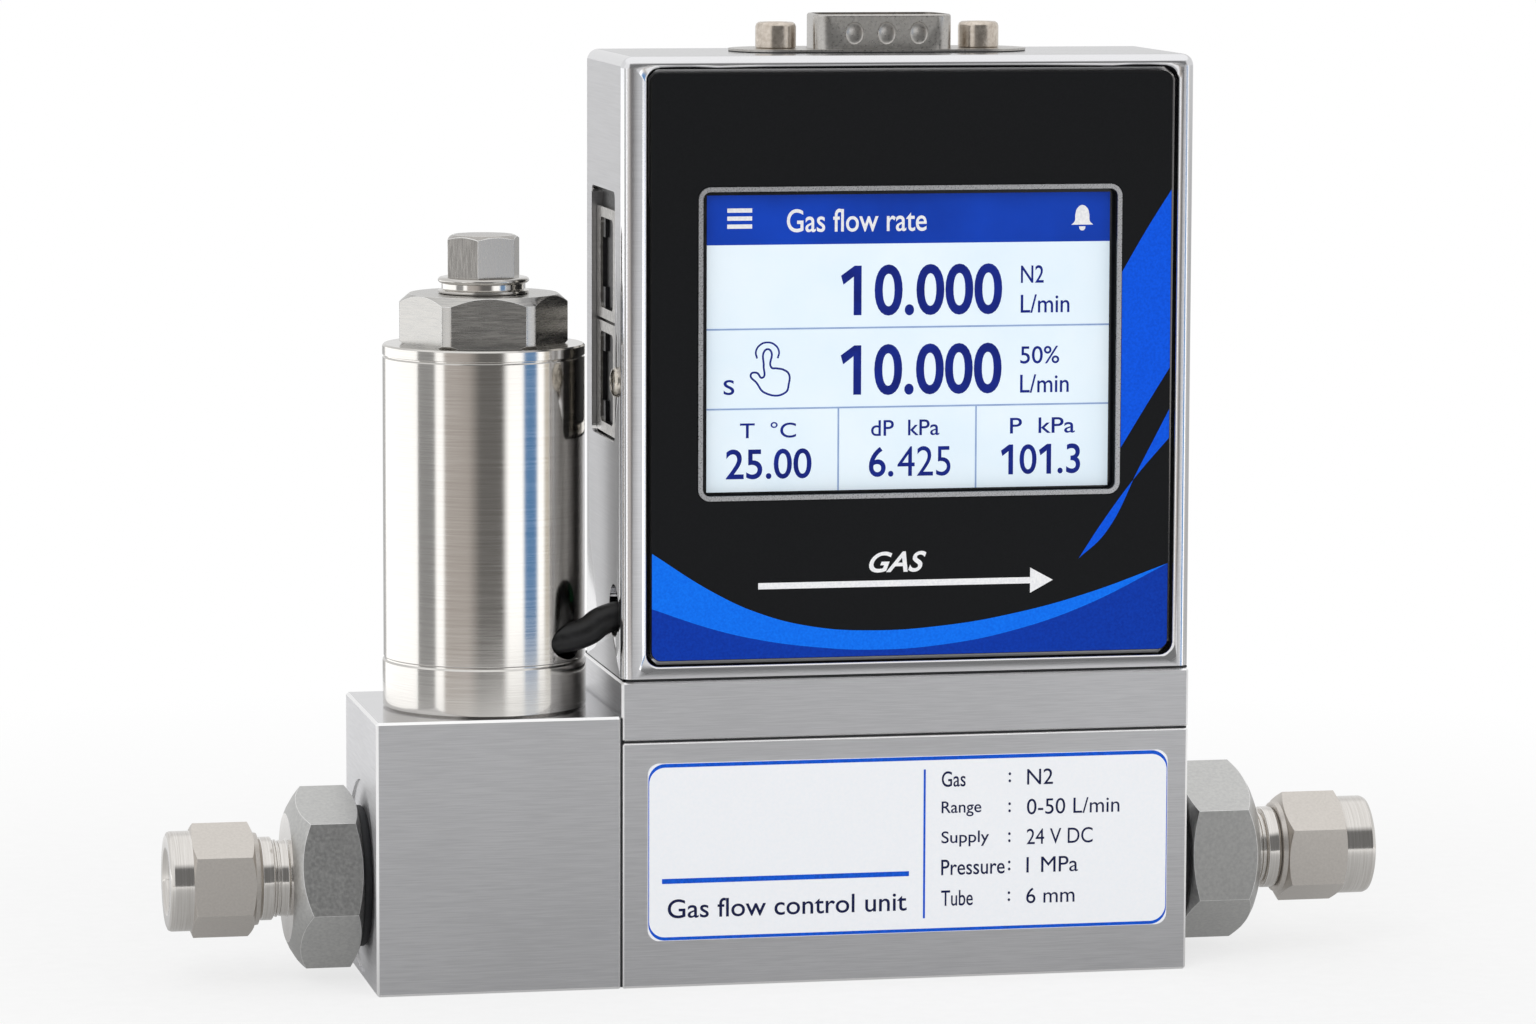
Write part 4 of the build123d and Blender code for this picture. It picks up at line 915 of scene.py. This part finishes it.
# Jackscrews of the top connector: round heads with threaded bores and rounded rims
jack_heads = []
jackscrew_reach = 12.495
for step in (-1, 1):
    head = turned(
        (
            (0, 106.35),
            (1.4, 106.35),
            (1.4, 111.35),
            (2.3, 111.35),
            (2.45, 111.5),
            (2.45, 113.95),
            (2.33, 114.3),
            (2.05, 114.5),
            (1.5, 114.5),
            (1.3, 114.3),
            (1.3, 112.1),
            (0, 112.1),
        ),
        steps=96,
    )
    jack_x = connector_x + step * jackscrew_reach
    across = Matrix.Translation((jack_x * MM, connector_y * MM, 0))
    jack_heads.append(moved(head, across))
piece(
    "connector_jackscrews", joined(*jack_heads), "connector_nickel", [plated_nickel], ("jackscrews",)
)

# Connector shell: the shell's own shape with pressed grounding dimples along its front
hood = own_shape("connector_shell")
for x in (9.87, 13.81, 17.76):
    dimple = bmesh.new()
    size = Matrix.Diagonal((1.15 * MM, 0.34 * MM, 1.35 * MM, 1.0))
    place = Matrix.Translation((x * MM, (connector_y - 4.3) * MM, 113.25 * MM))
    bmesh.ops.create_uvsphere(dimple, u_segments=32, v_segments=20, radius=1.0, matrix=place @ size)
    hood = combined(hood, tidied(dimple), "DIFFERENCE")
piece("connector_hood", hood, "connector_nickel", replaced=("connector_shell",), crease=35)

# Painted shade: dark strips set in the seams between the blocks, the plate and the housing, standing in
# for the shade in their narrow gaps
painted_seam_shade = (
    ((-20.2, -13.2, 0.2), (-20.0, -12.9, 32.6)),
    ((-19.9, -13.2, 29.62), (49.3, -12.9, 29.78)),
    ((-19.9, -13.15, 36.98), (49.3, -12.8, 37.22)),
    ((-19.95, -13.15, 36.98), (-19.6, 12.8, 37.22)),
)
seam_shade_shapes = [block(*corners) for corners in painted_seam_shade]
piece("painted_seam_shade", joined(*seam_shade_shapes), "seal_rubber", even=False)

# Dark board behind the sockets that closes the rest of their pocket
backing = block((-18.75, -8.45, 65.0), (-18.35, 7.3, 94.75))
piece("socket_backing", backing, "black_plastic", even=False)

# Flange of the top connector: bright sheet on the gasket
flange = own_shape("connector_gasket")
middle = Matrix.Translation((connector_x * MM, connector_y * MM, housing_top * MM))
flatten = Matrix.Translation((0, 0, 0.12 * MM)) @ Matrix.Diagonal((1.002, 1.004, 0.7, 1.0))
moved(flange, middle @ flatten @ middle.inverted())
piece("connector_flange", flange, "connector_nickel", crease=35)


# Printing: thin shapes that stand just proud of what they are printed on
def mesh_of(curve):
    """The flat mesh of a curve or of text."""
    maker = bpy.data.objects.new("shape", curve)
    scene.collection.objects.link(maker)
    shape = bmesh.new()
    finished = maker.evaluated_get(bpy.context.evaluated_depsgraph_get())
    mesh = bpy.data.meshes.new_from_object(finished)
    shape.from_mesh(mesh)
    bpy.data.meshes.remove(mesh)
    bpy.data.curves.remove(curve)
    return shape


def field(*points):
    """A filled outline of (x, z) points; a third value marks a point that the line curves through."""
    curve = bpy.data.curves.new("field", "CURVE")
    curve.dimensions = "2D"
    curve.fill_mode = "BOTH"
    line = curve.splines.new("BEZIER")
    line.bezier_points.add(len(points) - 1)
    for made, (x, z, *smooth) in zip(line.bezier_points, points):
        made.co = (x * MM, z * MM, 0)
        made.handle_left_type = made.handle_right_type = "AUTO" if smooth else "VECTOR"
    line.use_cyclic_u = True
    line.resolution_u = 12
    return mesh_of(curve)


def figure_one(x0, x1, z0, z1):
    """A plain figure one with its flag, fitted into a box."""
    wide, high = x1 - x0, z1 - z0
    outline = ((0.62, 0), (1, 0), (1, 1), (0.66, 1), (0, 0.8), (0.12, 0.62), (0.62, 0.78))
    return field(*[(x0 + wide * x, z0 + high * z) for x, z in outline])


def bar(x0, x1, z0, z1):
    """A filled rectangle."""
    return field((x0, z0), (x1, z0), (x1, z1), (x0, z1))


def rounded(x0, x1, z0, z1, radius):
    """A filled rectangle with rounded corners."""
    shape = bar(x0, x1, z0, z1)
    tidied(shape)
    bmesh.ops.dissolve_faces(shape, faces=shape.faces)
    bmesh.ops.bevel(
        shape,
        geom=shape.verts,
        offset=radius * MM,
        affect="VERTICES",
        segments=10,
        profile=0.5,
        material=-1,
    )
    return shape


def words(text, x0, x1, z0, z1, weight=0.0, slant=0.0):
    """Generic lettering or figures, fitted into a box."""
    curve = bpy.data.curves.new("words", "FONT")
    curve.body = text
    curve.offset = weight
    curve.shear = slant
    curve.resolution_u = 6
    shape = mesh_of(curve)
    low = Vector([min(v.co[i] for v in shape.verts) for i in range(3)])
    high = Vector([max(v.co[i] for v in shape.verts) for i in range(3)])
    grow = ((x1 - x0) * MM / (high.x - low.x), (z1 - z0) * MM / (high.y - low.y), 1.0)
    fitted = Matrix.Translation((x0 * MM, z0 * MM, 0)) @ Matrix.Diagonal((*grow, 1.0))
    return moved(shape, fitted @ Matrix.Translation(-low))


def stroke(points, width, closed=False):
    """A line of that width through (x, z) points."""
    curve = bpy.data.curves.new("stroke", "CURVE")
    curve.dimensions = "3D"
    curve.bevel_depth = width / 2 * MM
    curve.bevel_resolution = 3
    curve.use_fill_caps = True
    line = curve.splines.new("BEZIER")
    line.bezier_points.add(len(points) - 1)
    for made, (x, z) in zip(line.bezier_points, points):
        made.co = (x * MM, z * MM, 0)
        made.handle_left_type = made.handle_right_type = "AUTO"
    line.use_cyclic_u = closed
    return moved(mesh_of(curve), Matrix.Diagonal((1.0, 1.0, 0.05, 1.0)))


def printed(name, shapes, front, material, slot, thickness=0.03):
    """A print on an upright surface whose front is at that depth."""
    layer = joined(*shapes)
    bmesh.ops.remove_doubles(layer, verts=layer.verts, dist=0.0005 * MM)
    flats = [face for face in layer.faces if all(abs(v.co.z) < 0.0001 * MM for v in face.verts)]
    grown = bmesh.ops.extrude_face_region(layer, geom=flats)["geom"]
    raised = [part for part in grown if isinstance(part, bmesh.types.BMVert)]
    bmesh.ops.translate(layer, vec=(0, 0, thickness * MM), verts=raised)
    bmesh.ops.recalc_face_normals(layer, faces=layer.faces)
    upright = Matrix.Translation((0, front * MM, 0)) @ Matrix.Rotation(pi / 2, 4, "X")
    return piece(name, moved(layer, upright), slot, [material], even=False)


# Panel: curved blue fields below and at the right, and the flow arrow
sweep_top = (
    (-9.26, 47.54, 1),
    (-3.63, 44.84, 1),
    (2.9, 43.06, 1),
    (9.88, 42.42, 1),
    (19.08, 42.8, 1),
    (27.87, 44.11, 1),
    (36.7, 46.28, 1),
)
sweep_bottom = (
    (-9.25, 43.04, 1),
    (-3.62, 41.62, 1),
    (2.91, 40.61, 1),
    (10.33, 40.08, 1),
    (19.1, 40.51, 1),
    (27.89, 42.07, 1),
    (36.71, 44.9, 1),
)
printed(
    "panel_sweep_bright",
    [field((-16.45, 52.18), *sweep_top, (46.75, 49.7), *reversed(sweep_bottom), (-16.45, 45.56))],
    panel_front,
    inks["bright_blue"],
    "panel_black",
)
printed(
    "panel_sweep_deep",
    [
        field(
            (-16.45, 45.56),
            *sweep_bottom,
            (46.75, 49.7),
            (46.75, 40.45),
            (46.66, 40.0),
            (46.41, 39.69),
            (46.1, 39.44),
            (45.65, 39.35),
            (-15.35, 39.35),
            (-15.8, 39.44),
            (-16.11, 39.69),
            (-16.36, 40.0),
            (-16.45, 40.45),
        )
    ],
    panel_front,
    inks["deep_blue"],
    "panel_black",
)
printed(
    "panel_stripes",
    [
        field(
            (46.75, 94.76),
            (46.75, 73.39),
            (43.6, 68.4, 1),
            (40.75, 63.79),
            (40.75, 84.98),
            (43.7, 90.0, 1),
        ),
        field(
            (46.75, 68.35),
            (43.2, 61.6, 1),
            (38.85, 53.4, 1),
            (35.7, 50.55),
            (38.6, 54.9, 1),
            (42.6, 60.2, 1),
            (46.75, 64.9),
        ),
    ],
    panel_front,
    inks["mid_blue"],
    "panel_black",
)
printed(
    "panel_arrow",
    [
        field(
            (-3.6, 47.65),
            (29.7, 47.65),
            (29.7, 46.5),
            (32.5, 48.02),
            (29.7, 49.55),
            (29.7, 48.4),
            (-3.6, 48.4),
        ),
        words("GAS", 9.9, 16.9, 49.35, 51.85, 0.02, 0.35),
    ],
    panel_front,
    inks["white"],
    "panel_black",
)

# Display: lit ground, title bar, rules, figures and pictograms
for name, low, high, glow in (
    ("screen_ground", 59.2, 88.6, lit_ground),
    ("screen_title", 88.6, 94.5, lit_title),
):
    printed(name, [bar(-9.65, 39.5, low, high)], screen_front, glow, "screen", thin_print)
printed(
    "screen_rules",
    [
        bar(-9.65, 39.5, 78.5, 78.7),
        bar(-9.65, 39.5, 69.0, 69.2),
        bar(6.25, 6.45, 59.2, 69.0),
        bar(23.1, 23.3, 59.2, 69.0),
    ],
    screen_front - thin_print,
    lit_rules,
    "screen",
    thin_print,
)
printed(
    "screen_title_marks",
    [
        bar(-7.2, -4.2, 92.45, 92.95),
        bar(-7.2, -4.2, 91.5, 92.0),
        bar(-7.2, -4.2, 90.55, 91.05),
        words("Gas flow rate", 0.0, 17.0, 90.05, 92.8, 0.008),
        field(
            (34.75, 90.6),
            (35.15, 91.0, 1),
            (35.25, 91.9, 1),
            (35.5, 92.6, 1),
            (36.1, 92.95, 1),
            (36.7, 92.6, 1),
            (36.95, 91.9, 1),
            (37.05, 91.0, 1),
            (37.45, 90.6),
        ),
        field((35.7, 90.4), (35.8, 90.05, 1), (36.1, 89.9, 1), (36.4, 90.05, 1), (36.5, 90.4)),
    ],
    screen_front - thin_print,
    inks["white"],
    "screen",
    thin_print,
)
printed(
    "screen_figures",
    [
        figure_one(6.6, 9.1, 80.1, 86.0),
        words("0.000", 10.7, 26.3, 80.0, 86.1, 0.02),
        figure_one(6.6, 9.1, 70.6, 76.5),
        words("0.000", 10.7, 26.3, 70.5, 76.6, 0.02),
        words("N2", 28.6, 31.4, 83.7, 85.8, 0.005),
        words("L/min", 28.6, 34.6, 80.1, 82.3, 0.005),
        words("50%", 28.6, 33.4, 74.0, 76.1, 0.005),
        words("L/min", 28.6, 34.6, 70.5, 72.7, 0.005),
        words("T  °C", -5.6, 1.2, 65.6, 67.5, 0.005),
        words("dP  kPa", 10.35, 18.7, 65.6, 67.5, 0.005),
        words("P  kPa", 27.4, 35.4, 65.6, 67.5, 0.005),
        words("25.00", -7.3, 3.1, 60.7, 64.3, 0.01),
        words("6.", 10.1, 13.1, 60.7, 64.3, 0.01),
        words("425", 13.6, 20.1, 60.7, 64.3),
        figure_one(26.3, 27.8, 60.7, 64.3),
        words("0", 28.6, 30.7, 60.7, 64.3, 0.01),
        figure_one(31.0, 32.5, 60.7, 64.3),
        words(".3", 33.3, 36.1, 60.7, 64.3, 0.01),
        words("S", -7.6, -6.3, 70.8, 72.6, 0.01),
        stroke(
            (
                (-2.6, 71.0),
                (-3.6, 72.2),
                (-4.3, 73.2),
                (-3.6, 73.4),
                (-2.9, 72.8),
                (-2.75, 74.2),
                (-2.7, 75.9),
                (-2.25, 76.2),
                (-1.85, 75.9),
                (-1.8, 74.0),
                (-1.2, 73.9),
                (-0.3, 73.7),
                (0.3, 73.2),
                (0.3, 72.0),
                (-0.1, 71.0),
            ),
            0.24,
            True,
        ),
        stroke(
            (
                (-3.55, 75.1),
                (-3.7, 75.9),
                (-3.2, 76.7),
                (-2.3, 77.0),
                (-1.4, 76.7),
                (-0.9, 75.9),
                (-1.05, 75.1),
            ),
            0.22,
        ),
    ],
    screen_front - thin_print,
    lit_figures,
    "screen",
    thin_print,
)

# Rating plate: blue rim that shows above and below, white field, rules and plain ratings
rules_front = label_front - label_rim_depth - thin_print
printed(
    "label_rim",
    [rounded(-16.95, 46.85, 5.75, 27.05, 2.0)],
    label_front,
    inks["label_blue"],
    "label_film",
    label_rim_depth,
)
printed(
    "label_field",
    [rounded(-16.85, 46.75, 6.15, 26.6, 1.9)],
    label_front - label_rim_depth,
    white_polyester,
    "label_film",
    thin_print,
)
printed(
    "label_rules",
    [bar(16.62, 16.87, 7.4, 25.5), bar(-15.3, 14.87, 12.6, 13.2)],
    rules_front,
    inks["label_blue"],
    "label_film",
    thin_print,
)
ratings = (
    ("Gas", "N2", 25.2, 3.2),
    ("Range", "0-50 L/min", 21.55, 11.5),
    ("Supply", "24 V DC", 17.9, 8.2),
    ("Pressure", "1 MPa", 14.45, 6.4),
    ("Tube", "6 mm", 10.7, 6.0),
)
row_shapes = []
for heading, value, top, value_length in ratings:
    row_shapes.append(words(heading, 18.85, 18.85 + 0.98 * len(heading), top - 1.9, top, 0.005))
    row_shapes.append(words(":", 27.1, 27.4, top - 1.55, top - 0.35, 0.01))
    row_shapes.append(words(value, 29.4, 29.4 + value_length, top - 1.9, top))
row_shapes.append(words("Gas flow control unit", -14.6, 14.6, 8.4, 10.7, 0.005))
printed("label_ratings", row_shapes, rules_front, inks["ink"], "label_film", thin_print)

# Floor: pale, and it keeps the object's shadow near by. It is small, so that the upright metal
# mirrors the low row of the studio past its edge
floor_radius = 0.26
shadow_near, shadow_far, whiteness_near = 0.08, 0.24, 0.72
# Painted shade for reflections: closer than these distances, the floor's white as mirrored by metal is
# dimmed, down to this level
mirrored_near, mirrored_far, painted_shade_level = 0.07, 0.15, 0.42
floor_shape = bmesh.new()
bmesh.ops.create_circle(floor_shape, cap_ends=True, segments=128, radius=floor_radius)
floor = object_of(floor_shape, "floor")
floor_material, tree = empty_material("pale_floor")
where = node(tree, "ShaderNodeTexCoord")
reach = node(tree, "ShaderNodeVectorMath", {0: where.outputs["Object"]}, operation="LENGTH")
distance = node(
    tree,
    "ShaderNodeMapRange",
    {
        "Value": reach.outputs["Value"],
        "From Min": shadow_near,
        "From Max": shadow_far,
        "To Min": whiteness_near,
        "To Max": 1.0,
    },
)
rays = node(tree, "ShaderNodeLightPath")
mirrored = node(
    tree,
    "ShaderNodeMath",
    {0: rays.outputs["Is Camera Ray"], 1: rays.outputs["Is Glossy Ray"]},
    operation="MAXIMUM",
)
seen = node(
    tree,
    "ShaderNodeMath",
    {0: mirrored.outputs[0], 1: rays.outputs["Is Transmission Ray"]},
    operation="MAXIMUM",
)
share = node(tree, "ShaderNodeMath", {0: seen.outputs[0], 1: distance.outputs[0]}, operation="MULTIPLY")
speckle = node(tree, "ShaderNodeTexNoise", {"Vector": where.outputs["Object"], "Scale": 400.0})
paper = node(
    tree,
    "ShaderNodeValToRGB",
    {"Fac": speckle.outputs["Fac"]},
    stops=((0.3, linear("#EDEDED")), (0.7, linear("#F4F4F4"))),
)
matt = node(tree, "ShaderNodeBsdfDiffuse", {"Color": paper.outputs["Color"]})
reflected_painted_shade = node(
    tree,
    "ShaderNodeMapRange",
    {
        "Value": reach.outputs["Value"],
        "From Min": mirrored_near,
        "From Max": mirrored_far,
        "To Min": painted_shade_level,
        "To Max": 1.0,
    },
)
# Reflection rays see the floor's white dimmed near the object: a painted shade under it
strength = node(
    tree,
    "ShaderNodeMix",
    {0: rays.outputs["Is Glossy Ray"], 2: 1.0, 3: reflected_painted_shade.outputs[0]},
    data_type="FLOAT",
)
white = node(tree, "ShaderNodeEmission", {"Color": (1, 1, 1, 1), "Strength": strength.outputs[0]})
both = node(tree, "ShaderNodeMixShader", {0: share.outputs[0], 1: matt.outputs[0], 2: white.outputs[0]})
node(tree, "ShaderNodeOutputMaterial", {"Surface": both.outputs[0]})
floor.data.materials.append(floor_material)

# Studio: white to the camera, even light for matt surfaces, and for metal a low row of upright
# panels, a high row of broad cards, a bright ceiling and a warm floor. The heights are those of
# the reflected direction, from -1 straight down to 1 straight up
high_row_start, high_row_full = -0.06, -0.03
ceiling_start, ceiling_full = 0.6, 0.75
ground_start, ground_full = -0.2, -0.35
world = bpy.data.worlds.new("studio")
scene.world = world
world.use_nodes = True
tree = world.node_tree
tree.nodes.clear()
where = node(tree, "ShaderNodeTexCoord")
parts = node(tree, "ShaderNodeSeparateXYZ", {0: where.outputs["Generated"]})
bearing = node(
    tree, "ShaderNodeMath", {0: parts.outputs["Y"], 1: parts.outputs["X"]}, operation="ARCTAN2"
)
around = node(
    tree,
    "ShaderNodeMapRange",
    {"Value": bearing.outputs[0], "From Min": -pi, "From Max": pi, "To Min": 0.0, "To Max": 1.0},
)


def light(level, tint="#FFFFFF"):
    """A light level, tinted."""
    return (*[level * channel for channel in linear(tint)[:3]], 1.0)


# Bearings in degrees, anticlockwise from the flow's direction: each panel's start, end and light
panels = (
    (-180, -157, light(0.36)),
    (-155, -146, light(1.7)),
    (-144, -117, light(0.62, "#F6EDE6")),
    (-103, -78, light(0.2, "#F4F0EC")),
    (-71, -54, light(1.8)),
    (-51, -37, light(1.0, "#5B93CC")),
    (-34, -27, light(1.8)),
    (-25, -17, light(0.8, "#F7EFE0")),
    (-12, 72, light(0.5)),
    (82, 106, light(0.55)),
    (113, 180, light(1.7)),
)
cards = (
    (-180, -130, light(0.95)),
    (-120, -58, light(0.2)),
    (-46, 60, light(0.8)),
    (72, 180, light(0.85)),
)
low_row, high_row = [
    node(
        tree,
        "ShaderNodeValToRGB",
        {"Fac": around.outputs[0]},
        stops=[((edge + 180) / 360, colour) for start, end, colour in row for edge in (start, end)],
    )
    for row in (panels, cards)
]
row_share = node(
    tree,
    "ShaderNodeMapRange",
    {"Value": parts.outputs["Z"], "From Min": high_row_start, "From Max": high_row_full},
)
walls = node(
    tree,
    "ShaderNodeMix",
    {0: row_share.outputs[0], 6: low_row.outputs["Color"], 7: high_row.outputs["Color"]},
    data_type="RGBA",
)
height = node(
    tree,
    "ShaderNodeMapRange",
    {"Value": parts.outputs["Z"], "From Min": ceiling_start, "From Max": ceiling_full},
)
ceiling = node(
    tree,
    "ShaderNodeMix",
    {0: height.outputs[0], 6: walls.outputs[2], 7: light(1.05)},
    data_type="RGBA",
)
depth = node(
    tree,
    "ShaderNodeMapRange",
    {"Value": parts.outputs["Z"], "From Min": ground_start, "From Max": ground_full},
)
surround = node(
    tree,
    "ShaderNodeMix",
    {0: depth.outputs[0], 6: ceiling.outputs[2], 7: light(0.6, "#F3EBE2")},
    data_type="RGBA",
)
rays = node(tree, "ShaderNodeLightPath")
for_metal = node(tree, "ShaderNodeBackground", {"Color": surround.outputs[2], "Strength": 1.0})
for_matt = node(tree, "ShaderNodeBackground", {"Color": (1, 1, 1, 1), "Strength": 0.75})
for_camera = node(tree, "ShaderNodeBackground", {"Color": (1, 1, 1, 1), "Strength": 1.0})
lit = node(
    tree,
    "ShaderNodeMixShader",
    {0: rays.outputs["Is Glossy Ray"], 1: for_matt.outputs[0], 2: for_metal.outputs[0]},
)
seen = node(
    tree,
    "ShaderNodeMixShader",
    {0: rays.outputs["Is Camera Ray"], 1: lit.outputs[0], 2: for_camera.outputs[0]},
)
node(tree, "ShaderNodeOutputWorld", {"Surface": seen.outputs[0]})

# Lamps: two soft ones in front, in metres and watts, that aim at the middle of the object
lamp_target = Vector((0, 0, 0.05))
for name, place, size, energy in (
    ("key_light", (-0.55, -0.8, 1.0), 0.7, 3.2),
    ("fill_light", (0.7, -0.9, 0.6), 0.7, 1.4),
):
    lamp_data = bpy.data.lights.new(name, "AREA")
    lamp_data.size = size
    lamp_data.energy = energy
    lamp = bpy.data.objects.new(name, lamp_data)
    scene.collection.objects.link(lamp)
    aim = (Vector(place) - lamp_target).to_track_quat("Z", "Y").to_matrix().to_4x4()
    lamp.matrix_world = Matrix.Translation(place) @ aim
    lamp.visible_glossy = False
